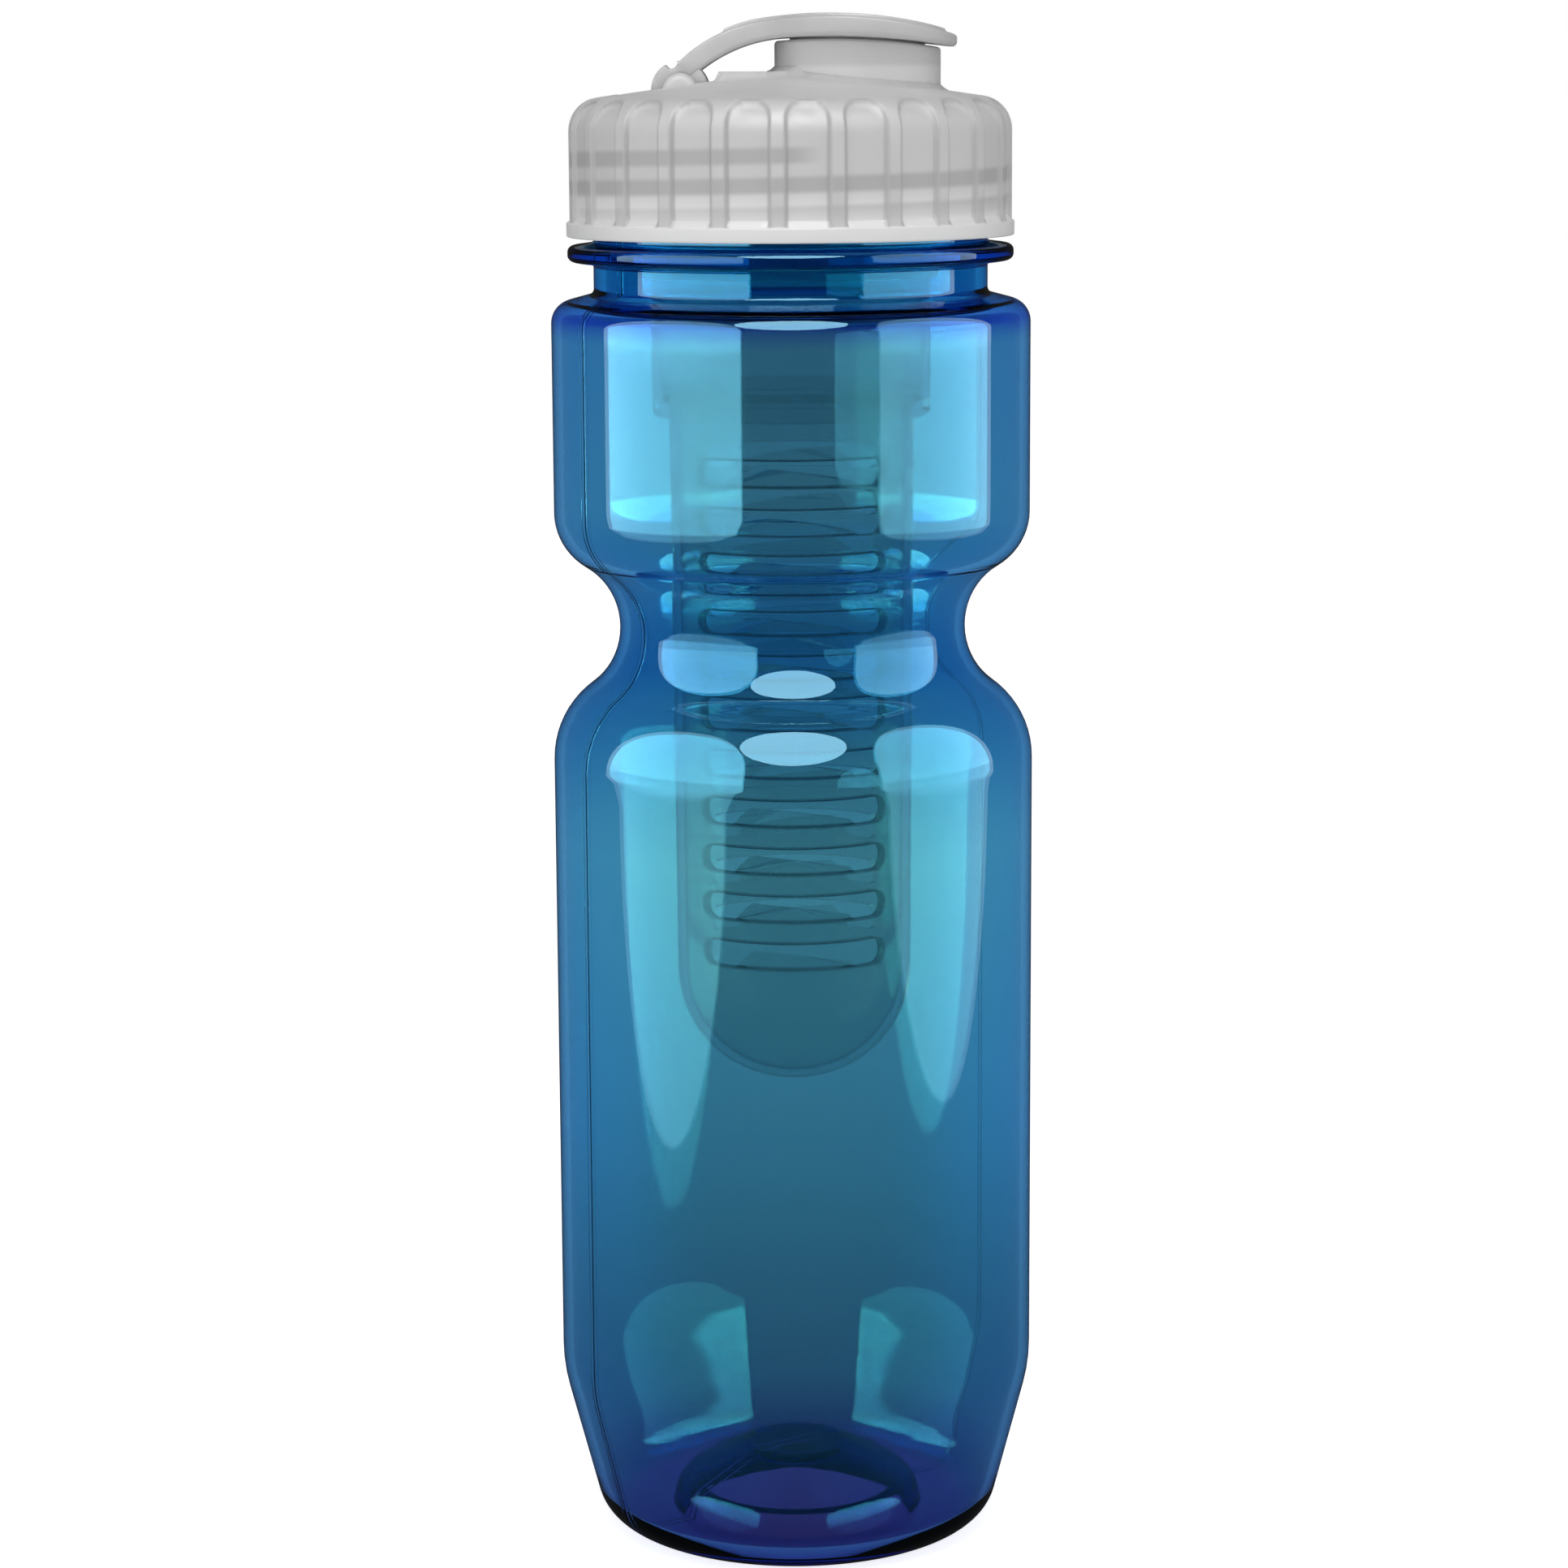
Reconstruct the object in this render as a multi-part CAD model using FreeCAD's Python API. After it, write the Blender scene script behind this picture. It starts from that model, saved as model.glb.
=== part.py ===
import FreeCAD, Part
import math
import os

# Fruit infuser water bottle: a waisted bottle, a screw cap with a flip lid, and a basket hung from the cap.
# Millimetres, +Z up, origin at the middle of the foot. The front is -Y and the spout stands at +X.

# Fits and cutters
overrun = 3.0             # how far cutters run past what they cut
moving_gap = 0.35         # air between curved faces that pass each other
push_gap = 0.1            # radial play of pieces pushed together by hand
pin_gap = 0.05            # radial play around the hinge pin
root_sink = 0.4           # how far an added form is sunk into the wall that carries it
round_share = 0.8         # most of a short wall that a rounding may take
shortest_line = 1e-6      # two arcs closer than this meet without a line between them

# Bottle: foot and side
body_radius = 36.75
body_wall = 1.5
base_wall = 2.4
heel_inset = 6.59         # from the side in to the heel's corner
heel_radius = 6.5
foot_land = 7.3           # width of the flat foot, to the corner of its hollow
heel_taper_deg = 14.7
heel_blend_radius = 25.0
recess_draft = 1.2        # the hollow inside the foot
recess_height = 4.4
recess_edge_radius = 0.8
recess_round_radius = 2.0
crown_radius = 7.0        # flat middle of the hollow
crown_rise = 4.6
grip_length = 96.3        # lower straight side
waist_radius = 26.4
waist_arc_radius = 11.3
lower_arc_radius = 13.8
upper_arc_radius = 9.2
upper_radius = 36.25
upper_length = 28.7       # upper straight side
shoulder_radius = 3.5
shoulder_slope_deg = 15.0

# Bottle: neck
neck_radius = 29.75
neck_wall = 1.8
neck_root_radius = 1.0
ring_lift = 4.4           # from the neck's root to the ring
ring_height = 3.2
ring_reach = 3.9
ring_tip_height = 2.2
ring_tip_radius = 1.0
finish_height = 17.9      # from the ring to the lip
lip_radius = 0.5

# Thread of the neck and the cap
thread_pitch = 4.2
thread_height = 1.35
thread_drop = 4.4         # from the lip down to the upper end of the cap's ridge
thread_end_deg = -80.0    # upper end of both ridges, seen from above
neck_ridge_width = 2.4
neck_ridge_crest = 1.4
neck_ridge_turns = 1.9
cap_ridge_width = 2.2
cap_ridge_crest = 1.2
cap_ridge_turns = 2.25

# Seal
seal_thickness = 1.5
seal_overhang = 0.6       # past the lip, inside and outside
seal_edge_round = 0.3

# Cap
cap_ring_gap = 0.9        # from the bottle's ring up to the cap
cap_wall = 1.2            # behind the grip panels
cap_flange_height = 2.25
cap_flange_reach = 0.4
cap_flange_round = 0.3
cap_corner_rise = 1.5     # from the seal's seat to the cap's outer corner
cap_corner_radius = 5.0
dome_slope_deg = 8.4
dome_flat_radius = 11.0
roof_wall = 1.8
plug_wall = 1.2           # rib inside the seal
plug_depth = 3.5
panel_count = 24
panel_depth = 0.7
panel_width = 6.3
panel_top_radius = 2.4
panel_phase_deg = 4.3     # middle of the first panel, to the right of the front

# Skirt of the cap that holds the infuser
skirt_wall = 1.2
skirt_drop = 5.85         # how far the skirt hangs below the cap
skirt_grip = 18.0         # length that holds the collar
skirt_stop_width = 1.0

# Spout
spout_x = 10.2
spout_radius = 12.45
spout_wall = 1.7
spout_height = 5.75       # from the dome to the top of its rim

# Hinge
hinge_x = -16.3
hinge_sink = 0.85         # axis below the dome's surface
pin_radius = 0.9
pin_blind_wall = 1.0      # left in the ear that is closed
ear_radius = 2.55
ear_thickness = 2.8
ear_round = 0.8
knuckle_radius = 4.3
knuckle_width = 12.4
notch_radius = 0.95       # groove across the knuckle
notch_deg = 108.0
pocket_wall = 1.4
pocket_front = 5.7        # from the hinge axis to the pocket's front end
pocket_front_depth = 1.5  # floor of that end below the axis
rest_length = 9.7         # from the hinge axis to the end of the ramp behind the pocket
rest_depth = 3.4          # the ramp's foot below the axis

# Raised deck between the hinge and the spout
deck_rise = 1.05
deck_width = 17.0
deck_draft = 3.2
deck_depth = 3.5

# Flip lid
lid_thickness = 3.4
lid_head_margin = 2.45    # how far the head reaches past the spout
lid_crown_x = 5.2
lid_top_radius = 72.0
lid_top_bend_deg = 7.3
lid_under_radius = 118.0
lid_under_bend_deg = 2.7
lid_arm_thickness = 3.1
lid_arm_deg = 40.0
lid_neck_radius = 9.0     # rounding where the arm meets the head
lid_edge_round = 0.9
lid_panel_height = 0.45   # raised panel on top
lid_panel_margin = 1.7
lid_panel_start = 6.6     # from the hinge axis to the panel

# Stopper under the lid
stopper_seat = 1.3        # from the lid's underside down to the stopper
stopper_gap = 0.6         # room for the stopper to swing out of the spout
stopper_depth = 2.8
stopper_taper = 1.0
stopper_edge_round = 0.5
stopper_hollow_depth = 1.3
stopper_hollow_wall = 2.2
stud_radius = 2.6

# Infuser
collar_radius = 21.1
collar_wall = 1.15
collar_drop = 20.9        # how far the collar shows below the skirt
collar_edge_round = 0.4
ledge_height = 2.2
ledge_width = 1.05
basket_lip_height = 2.2
basket_taper = 0.65       # the radius that the basket loses towards its bottom
basket_wall = 1.3
basket_depth = 105.2      # from its seat to its lowest point
basket_round_share = 0.97
slot_count = 11
slot_pitch = 7.3
slot_height = 3.9
slot_half_deg = 49.0
slot_top_drop = 9.9       # from the basket's seat to the first slot's middle

# Heights and radii of the bottle that follow from the sizes above
heel_taper = math.radians(heel_taper_deg)
heel_corner_radius = body_radius - heel_inset
foot_radius = heel_corner_radius - heel_radius * math.tan((math.pi / 2 - heel_taper) / 2)
recess_radius = foot_radius - foot_land
grip_start_z = heel_inset / math.tan(heel_taper)
grip_end_z = grip_start_z + grip_length
waist_middle_radius = waist_radius + waist_arc_radius
lower_arc_sum = waist_arc_radius + lower_arc_radius
upper_arc_sum = waist_arc_radius + upper_arc_radius
lower_turn = math.acos((waist_middle_radius - body_radius + lower_arc_radius) / lower_arc_sum)
upper_turn = math.acos((waist_middle_radius - upper_radius + upper_arc_radius) / upper_arc_sum)
upper_start_z = grip_end_z + lower_arc_sum * math.sin(lower_turn) + upper_arc_sum * math.sin(upper_turn)
shoulder_slope = math.radians(shoulder_slope_deg)
shoulder_z = upper_start_z + upper_length + shoulder_radius * math.tan((math.pi / 2 - shoulder_slope) / 2)
neck_z = shoulder_z + (upper_radius - neck_radius) * math.tan(shoulder_slope)
neck_bore_radius = neck_radius - neck_wall
ring_z = neck_z + ring_lift
ring_top_z = ring_z + ring_height
lip_z = ring_top_z + finish_height

# Heights and radii of the seal and the cap
seal_inner_radius = neck_bore_radius - seal_overhang
seal_outer_radius = neck_radius + seal_overhang
cap_z = ring_top_z + cap_ring_gap
cap_seat_z = lip_z + seal_thickness
cap_bore_radius = neck_radius + thread_height + moving_gap
panel_radius = cap_bore_radius + cap_wall
rib_radius = panel_radius + panel_depth
cap_corner_z = cap_seat_z + cap_corner_rise
dome_slope = math.radians(dome_slope_deg)
plug_radius = seal_inner_radius - moving_gap


def dome_height(radius):
    return cap_corner_z + (rib_radius - max(radius, dome_flat_radius)) * math.tan(dome_slope)


dome_z = dome_height(0)

# Heights and radii of the infuser, the hinge and the lid
skirt_bore_radius = collar_radius + push_gap
skirt_radius = skirt_bore_radius + skirt_wall
skirt_z = cap_z - skirt_drop
collar_top_z = skirt_z + skirt_grip
collar_z = skirt_z - collar_drop
collar_bore_radius = collar_radius - collar_wall
ledge_radius = collar_bore_radius - ledge_width
seat_z = collar_z + ledge_height
basket_radius = ledge_radius - moving_gap
hinge_z = dome_height(abs(hinge_x)) - hinge_sink
ear_gap = knuckle_width / 2 + moving_gap
ear_end = ear_gap + ear_thickness
pin_start = pin_blind_wall - ear_end
pocket_radius = knuckle_radius + moving_gap
spout_bore_radius = spout_radius - spout_wall
lid_head_radius = spout_radius + lid_head_margin
lid_under_z = dome_z + spout_height + moving_gap
lid_crown_z = lid_under_z + lid_thickness
stopper_radius = spout_bore_radius - stopper_gap
stopper_z = lid_under_z - stopper_seat

origin = FreeCAD.Vector(0, 0, 0)
up = FreeCAD.Vector(0, 0, 1)
across = FreeCAD.Vector(0, 1, 0)


def side_point(x, z):
    return FreeCAD.Vector(x, 0, z)


def rounded_wire(corners, place=side_point):
    """Closed wire through corners of two coordinates and a rounding, each rounded by a tangent arc."""
    points = [FreeCAD.Vector(first, second, 0) for first, second, rounding in corners]
    arcs = []
    for i, corner in enumerate(points):
        before = (points[i - 1] - corner).normalize()
        after = (points[(i + 1) % len(points)] - corner).normalize()
        rounding = max(corners[i][2], 0)
        half = before.getAngle(after) / 2
        reach = rounding / math.tan(half)
        middle = corner
        if rounding:
            middle = corner + (before + after).normalize() * (rounding / math.sin(half) - rounding)
        arcs.append((corner + before * reach, middle, corner + after * reach))
    edges = []
    for i, (start, middle, end) in enumerate(arcs):
        if corners[i][2] > 0:
            edges.append(Part.Arc(*[place(p.x, p.y) for p in (start, middle, end)]).toShape())
        follower = arcs[(i + 1) % len(arcs)][0]
        if (follower - end).Length > shortest_line:
            edges.append(Part.makeLine(place(end.x, end.y), place(follower.x, follower.y)))
    return Part.Wire(edges)


def lathe(corners):
    return Part.Face(rounded_wire(corners)).revolve(origin, up, 360)


def wall_inside(path, walls):
    """The path moved to its left, each stretch by its own wall. Roundings shrink or grow to match."""
    points = [FreeCAD.Vector(radius, z, 0) for radius, z, rounding in path]
    ways = [(b - a).normalize() for a, b in zip(points, points[1:])]
    lines = []
    for point, way, wall in zip(points, ways, walls):
        lines.append(point + FreeCAD.Vector(-way.y, way.x, 0) * wall)
    inside = [(lines[0].x, lines[0].y, 0)]
    for i in range(1, len(ways)):
        turn = ways[i - 1].cross(ways[i]).z
        apart = lines[i] - lines[i - 1]
        meet = lines[i - 1] + ways[i - 1] * (apart.cross(ways[i]).z / turn)
        inside.append((meet.x, meet.y, path[i][2] - math.copysign(walls[i], turn)))
    end = points[-1] + FreeCAD.Vector(-ways[-1].y, ways[-1].x, 0) * walls[-1]
    inside.append((end.x, end.y, path[-1][2]))
    return inside


def thread_ridge(root_radius, outward, width, crest, turns, end_z):
    """Helical ridge on a wall, sunk into it by root_sink. outward is 1 on a neck and -1 in a cap."""
    flank = (width - crest) / 2 / thread_height
    sunk = (root_radius - outward * root_sink, width / 2 + flank * root_sink)
    tip = (root_radius + outward * thread_height, crest / 2)
    ring = [(sunk[0], -sunk[1]), (tip[0], -tip[1]), tip, sunk, (sunk[0], -sunk[1])]
    profile = Part.makePolygon([side_point(radius, z) for radius, z in ring])
    helix = Part.Wire(Part.makeHelix(thread_pitch, thread_pitch * turns, root_radius))
    ridge = helix.makePipeShell([profile], True, True)
    ridge.rotate(origin, up, thread_end_deg - 360 * turns)
    ridge.translate(up * (end_z - thread_pitch * turns))
    return ridge


def bottle_body():
    lower_reach = lower_arc_radius * math.tan(lower_turn / 2)
    upper_reach = upper_arc_radius * math.tan(upper_turn / 2)
    flank = lower_reach + waist_arc_radius * math.tan((lower_turn + upper_turn) / 2)
    flank_z = grip_end_z + lower_reach
    waist_point = (body_radius - flank * math.sin(lower_turn), flank_z + flank * math.cos(lower_turn))
    path = [
        (0, recess_height + crown_rise, 0),
        (crown_radius, recess_height + crown_rise, recess_round_radius),
        (recess_radius - recess_draft, recess_height, recess_round_radius),
        (recess_radius, 0, recess_edge_radius),
        (heel_corner_radius, 0, heel_radius),
        (body_radius, grip_start_z, heel_blend_radius),
        (body_radius, flank_z, lower_arc_radius),
        (*waist_point, waist_arc_radius),
        (upper_radius, upper_start_z - upper_reach, upper_arc_radius),
        (upper_radius, shoulder_z, shoulder_radius),
        (neck_radius, neck_z, neck_root_radius),
        (neck_radius, lip_z, lip_radius),
    ]
    walls = [base_wall] * 4 + [body_wall] * 6 + [neck_wall]
    shell = lathe(path + wall_inside(path, walls)[::-1])
    ring_radius = neck_radius + ring_reach
    ring_step = (ring_height - ring_tip_height) / 2
    ring = lathe([
        (neck_radius - root_sink, ring_z, 0),
        (ring_radius, ring_z + ring_step, ring_tip_radius),
        (ring_radius, ring_top_z - ring_step, ring_tip_radius),
        (neck_radius - root_sink, ring_top_z, 0),
    ])
    ridge_end_z = lip_z - thread_drop - thread_pitch / 2
    ridge = thread_ridge(neck_radius, 1, neck_ridge_width, neck_ridge_crest, neck_ridge_turns, ridge_end_z)
    return shell.fuse([ring, ridge])


def cap_seal():
    return lathe([
        (seal_inner_radius, lip_z, seal_edge_round),
        (seal_outer_radius, lip_z, seal_edge_round),
        (seal_outer_radius, cap_seat_z, seal_edge_round),
        (seal_inner_radius, cap_seat_z, seal_edge_round),
    ])


def cap_outline():
    """Corners of the cap's outside, from the middle of its dome down to its lower edge."""
    flange_radius = rib_radius + cap_flange_reach
    flange_z = cap_z + cap_flange_height
    edge_round = min(cap_flange_round, cap_flange_reach * round_share)
    return [
        (0, dome_z, 0),
        (dome_flat_radius, dome_z, 0),
        (rib_radius, cap_corner_z, cap_corner_radius),
        (rib_radius, flange_z, 0),
        (flange_radius, flange_z, edge_round),
        (flange_radius, cap_z, edge_round),
    ]


def grip_panels():
    """Cutters for the grip panels, all as deep as panel_depth along the cap's side and corner."""
    flange_z = cap_z + cap_flange_height
    floor_drop = panel_depth / math.cos(dome_slope)
    inner_radius = panel_radius - cap_corner_radius
    outer_radius = rib_radius + overrun
    top_z = cap_corner_z + overrun
    floor = lathe([
        (panel_radius, flange_z, 0),
        (outer_radius, flange_z, 0),
        (outer_radius, top_z, 0),
        (inner_radius, top_z, 0),
        (inner_radius, dome_height(inner_radius) - floor_drop, 0),
        (panel_radius, dome_height(panel_radius) - floor_drop, cap_corner_radius - panel_depth),
    ])
    half = panel_width / 2
    window = Part.Face(rounded_wire([
        (-half, flange_z - overrun, 0),
        (half, flange_z - overrun, 0),
        (half, cap_corner_z, min(panel_top_radius, half * round_share)),
        (-half, cap_corner_z, min(panel_top_radius, half * round_share)),
    ], lambda y, z: FreeCAD.Vector(inner_radius, y, z)))
    bar = window.extrude(FreeCAD.Vector(outer_radius - inner_radius + overrun, 0, 0))
    bars = []
    for i in range(panel_count):
        copy = bar.copy()
        copy.rotate(origin, up, panel_phase_deg - 90 + 360 * i / panel_count)
        bars.append(copy)
    return floor.common(Part.makeCompound(bars))


def block(x_start, x_end, half_width, z_start, z_end):
    corner = FreeCAD.Vector(x_start, -half_width, z_start)
    return Part.makeBox(x_end - x_start, 2 * half_width, z_end - z_start, corner)


def hinge_rod(radius, y_start, y_end):
    start = FreeCAD.Vector(hinge_x, y_start, hinge_z)
    return Part.makeCylinder(radius, y_end - y_start, start, across)


def hinge_ear(side):
    foot_z = dome_height(abs(hinge_x) + ear_radius) - roof_wall / 2
    corners = [
        side_point(hinge_x - ear_radius, foot_z),
        side_point(hinge_x - ear_radius, hinge_z),
        side_point(hinge_x, hinge_z + ear_radius),
        side_point(hinge_x + ear_radius, hinge_z),
        side_point(hinge_x + ear_radius, foot_z),
    ]
    outline = Part.Wire([
        Part.makeLine(corners[0], corners[1]),
        Part.Arc(*corners[1:4]).toShape(),
        Part.makeLine(corners[3], corners[4]),
        Part.makeLine(corners[4], corners[0]),
    ])
    ear = Part.Face(outline).extrude(across * (side * ear_thickness))
    ear.translate(across * (side * ear_gap))
    rim = []
    for edge in ear.Edges:
        box = edge.BoundBox
        on_outside = min(abs(box.YMin), abs(box.YMax)) > ear_end - shortest_line
        if on_outside and box.ZMax > foot_z + shortest_line:
            rim.append(edge)
    return ear.makeFillet(ear_round, rim)


def deck():
    """Raised deck from the hinge's pocket to the spout, with sloping sides."""
    start_x = hinge_x + pocket_front
    wires = []
    for z, spread in ((dome_z + deck_rise, 0), (dome_z + deck_rise - deck_depth, deck_draft)):
        half = deck_width / 2 + spread
        wires.append(Part.makePolygon([
            FreeCAD.Vector(start_x, -half, z),
            FreeCAD.Vector(spout_x, -half, z),
            FreeCAD.Vector(spout_x, half, z),
            FreeCAD.Vector(start_x, half, z),
            FreeCAD.Vector(start_x, -half, z),
        ]))
    return Part.makeLoft(wires, True, True)


def screw_cap():
    outside = cap_outline()
    plug_bore_radius = plug_radius - plug_wall
    inside = [
        (cap_bore_radius, cap_z, 0),
        (cap_bore_radius, cap_seat_z, cap_bore_radius - seal_outer_radius - push_gap),
        (plug_radius, cap_seat_z, 0),
        (plug_radius, cap_seat_z - plug_depth, 0),
        (plug_bore_radius, cap_seat_z - plug_depth, 0),
        (plug_bore_radius, dome_height(plug_bore_radius) - roof_wall, 0),
        (dome_flat_radius, dome_z - roof_wall, 0),
        (0, dome_z - roof_wall, 0),
    ]
    cap = lathe(outside + inside).cut(grip_panels())

    skirt_top_z = dome_height(skirt_radius) - roof_wall / 2
    stop_radius = skirt_bore_radius - skirt_stop_width
    skirt = lathe([
        (skirt_bore_radius, skirt_z, 0),
        (skirt_radius, skirt_z, 0),
        (skirt_radius, skirt_top_z, 0),
        (stop_radius, skirt_top_z, 0),
        (stop_radius, collar_top_z, 0),
        (skirt_bore_radius, collar_top_z, 0),
    ])
    spout_foot_z = dome_height(spout_x + spout_radius) - roof_wall / 2
    spout = Part.makeCylinder(spout_radius, lid_crown_z - spout_foot_z, side_point(spout_x, spout_foot_z))
    rim_radius = lid_under_radius - moving_gap
    rim_start = FreeCAD.Vector(lid_crown_x, -lid_head_radius, lid_under_z - lid_under_radius)
    spout = spout.common(Part.makeCylinder(rim_radius, 2 * lid_head_radius, rim_start, across))

    # The pocket that the knuckle turns in is a closed well under the roof
    pocket_z = hinge_z - pocket_radius
    well_start = hinge_x - pocket_radius - 2 * pocket_wall
    well_end = hinge_x + pocket_front + pocket_wall
    well = block(well_start, well_end, ear_gap + pocket_wall, pocket_z - pocket_wall, dome_z)
    well = well.common(lathe(outside + [(0, cap_z, 0)]))
    ridge = thread_ridge(
        cap_bore_radius, -1, cap_ridge_width, cap_ridge_crest, cap_ridge_turns, lip_z - thread_drop)
    cap = cap.fuse([skirt, spout, well, deck(), hinge_ear(-1), hinge_ear(1), ridge])

    above_z = lid_crown_z + overrun
    rest_end = hinge_x - rest_length
    ramp = Part.Face(Part.makePolygon([
        side_point(hinge_x, hinge_z - rest_depth),
        side_point(rest_end, dome_height(abs(rest_end))),
        side_point(rest_end, above_z),
        side_point(hinge_x, above_z),
        side_point(hinge_x, hinge_z - rest_depth),
    ])).extrude(across * (2 * ear_gap))
    ramp.translate(across * -ear_gap)
    front = block(hinge_x, hinge_x + pocket_front, ear_gap, hinge_z - pocket_front_depth, above_z)
    spout_bore = Part.makeCylinder(spout_bore_radius, above_z - cap_seat_z, side_point(spout_x, cap_seat_z))
    return cap.cut([
        spout_bore,
        hinge_rod(pocket_radius, -ear_gap, ear_gap),
        ramp,
        front,
        hinge_rod(pin_radius + pin_gap, pin_start, ear_end),
    ])


def arch(long_radius, crown_z, bend_deg, start):
    """One side of the lid: a tight arc from start that runs into a long arc over the crown."""
    bend = math.radians(bend_deg)
    middle = side_point(lid_crown_x, crown_z - long_radius)
    inward = side_point(math.sin(bend), -math.cos(bend))
    join = middle - inward * long_radius
    chord = join - start
    rise_radius = -chord.Length ** 2 / (2 * inward.dot(chord))
    rise_middle = join + inward * rise_radius
    halfway = ((start + join) * 0.5 - rise_middle).normalize()
    end_x = spout_x + lid_head_radius + overrun
    end = side_point(end_x, middle.z + math.sqrt(long_radius ** 2 - (end_x - lid_crown_x) ** 2))
    rise = Part.Arc(start, rise_middle + halfway * rise_radius, join).toShape()
    run = Part.Arc(join, side_point(lid_crown_x, crown_z), end).toShape()
    return rise, run, end


def lid_band(top, under):
    """Solid between two arches, as wide as the head."""
    top_rise, top_long, top_end = arch(*top)
    under_rise, under_long, under_end = arch(*under)
    edges = [
        top_rise,
        top_long,
        Part.makeLine(top_end, under_end),
        under_long,
        under_rise,
        Part.makeLine(under[-1], top[-1]),
    ]
    outline = Part.Wire(Part.__sortEdges__(edges))
    band = Part.Face(outline).extrude(across * (2 * lid_head_radius))
    band.translate(across * -lid_head_radius)
    return band


def lid_plan(start_x, margin):
    """Upright prism of the lid's plan, with the arm running into the round head."""
    height = lid_crown_z + overrun - hinge_z
    head = Part.makeCylinder(lid_head_radius - margin, height, side_point(spout_x, hinge_z))
    arm = block(start_x, spout_x, knuckle_width / 2 - margin, hinge_z, hinge_z + height)
    plan = head.fuse(arm).removeSplitter()
    necks = []
    for edge in plan.Edges:
        box = edge.BoundBox
        upright = box.ZLength > height * round_share and box.XLength + box.YLength < shortest_line
        if upright and start_x < box.XMin - shortest_line and box.XMax < spout_x - shortest_line:
            necks.append(edge)
    return plan.makeFillet(lid_neck_radius, necks)


def flip_lid():
    top_start = side_point(hinge_x, hinge_z + knuckle_radius)
    arm_angle = math.radians(lid_arm_deg)
    arm_across = side_point(math.cos(arm_angle), -math.sin(arm_angle)) * lid_arm_thickness
    under = (lid_under_radius, lid_under_z, lid_under_bend_deg, top_start + arm_across)
    top = (lid_top_radius, lid_crown_z - lid_panel_height, lid_top_bend_deg, top_start)
    lid = lid_band(top, under).common(lid_plan(hinge_x, 0))
    outline = []
    for face in lid.Faces:
        start_u, end_u, start_v, end_v = face.ParameterRange
        faces_down = face.normalAt((start_u + end_u) / 2, (start_v + end_v) / 2).z < -shortest_line
        if faces_down and face.BoundBox.XMax > hinge_x + lid_arm_thickness:
            outline += [edge for edge in face.Edges if edge.BoundBox.XLength > shortest_line]
    lid = lid.makeFillet(lid_edge_round, outline)

    panel_top = (lid_top_radius, lid_crown_z, lid_top_bend_deg, top_start)
    sunk_start = top_start - up * (2 * lid_panel_height)
    panel_under = (lid_top_radius, lid_crown_z - 2 * lid_panel_height, lid_top_bend_deg, sunk_start)
    panel = lid_band(panel_top, panel_under).common(lid_plan(hinge_x + lid_panel_start, lid_panel_margin))

    knuckle = hinge_rod(knuckle_radius, -knuckle_width / 2, knuckle_width / 2)
    seat = Part.makeCylinder(stopper_radius, stopper_seat + root_sink, side_point(spout_x, stopper_z))
    stud_length = stopper_depth - stopper_hollow_depth
    stud_start = side_point(spout_x, stopper_z - stud_length)
    stud = Part.makeCylinder(stud_radius, stud_length + root_sink, stud_start)
    notch_angle = math.radians(notch_deg)
    notch = hinge_rod(notch_radius, -knuckle_width, knuckle_width)
    notch.translate(side_point(math.cos(notch_angle), math.sin(notch_angle)) * knuckle_radius)
    bore = hinge_rod(pin_radius + pin_gap, -knuckle_width, knuckle_width)
    return lid.fuse([panel, knuckle, seat, stud]).cut([notch, bore])


def hinge_pin():
    return hinge_rod(pin_radius, pin_start, ear_end)


def spout_stopper():
    bottom_z = stopper_z - stopper_depth
    bottom_radius = stopper_radius - stopper_taper
    hollow_z = bottom_z + stopper_hollow_depth
    hole_radius = stud_radius + push_gap
    plug = lathe([
        (hole_radius, stopper_z, 0),
        (stopper_radius, stopper_z, 0),
        (bottom_radius, bottom_z, stopper_edge_round),
        (bottom_radius - stopper_hollow_wall, bottom_z, stopper_edge_round),
        (bottom_radius - stopper_hollow_wall, hollow_z, 0),
        (hole_radius, hollow_z, 0),
    ])
    plug.translate(side_point(spout_x, 0))
    return plug


def infuser_collar():
    return lathe([
        (ledge_radius, collar_z, collar_edge_round),
        (collar_radius, collar_z, collar_edge_round),
        (collar_radius, collar_top_z, collar_edge_round),
        (collar_bore_radius, collar_top_z, 0),
        (collar_bore_radius, seat_z, 0),
        (ledge_radius, seat_z, 0),
    ])


def basket_slot(middle_z, facing_deg):
    """Cutter for one slot with radial walls and round ends."""
    inner_radius = basket_radius - basket_taper - basket_wall - overrun
    outer_radius = basket_radius + overrun
    half_height = slot_height / 2
    end_deg = slot_half_deg - math.degrees(half_height / basket_radius)
    middle = Part.Face(Part.makePolygon([
        side_point(inner_radius, middle_z - half_height),
        side_point(outer_radius, middle_z - half_height),
        side_point(outer_radius, middle_z + half_height),
        side_point(inner_radius, middle_z + half_height),
        side_point(inner_radius, middle_z - half_height),
    ]))
    middle.rotate(origin, up, facing_deg - end_deg)
    cutters = [middle.revolve(origin, up, 2 * end_deg)]
    for side in (-1, 1):
        angle = math.radians(facing_deg + side * end_deg)
        way = FreeCAD.Vector(math.cos(angle), math.sin(angle), 0)
        start = way * inner_radius + up * middle_z
        cutters.append(Part.makeCylinder(half_height, outer_radius - inner_radius, start, way))
    return cutters[0].fuse(cutters[1:])


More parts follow.
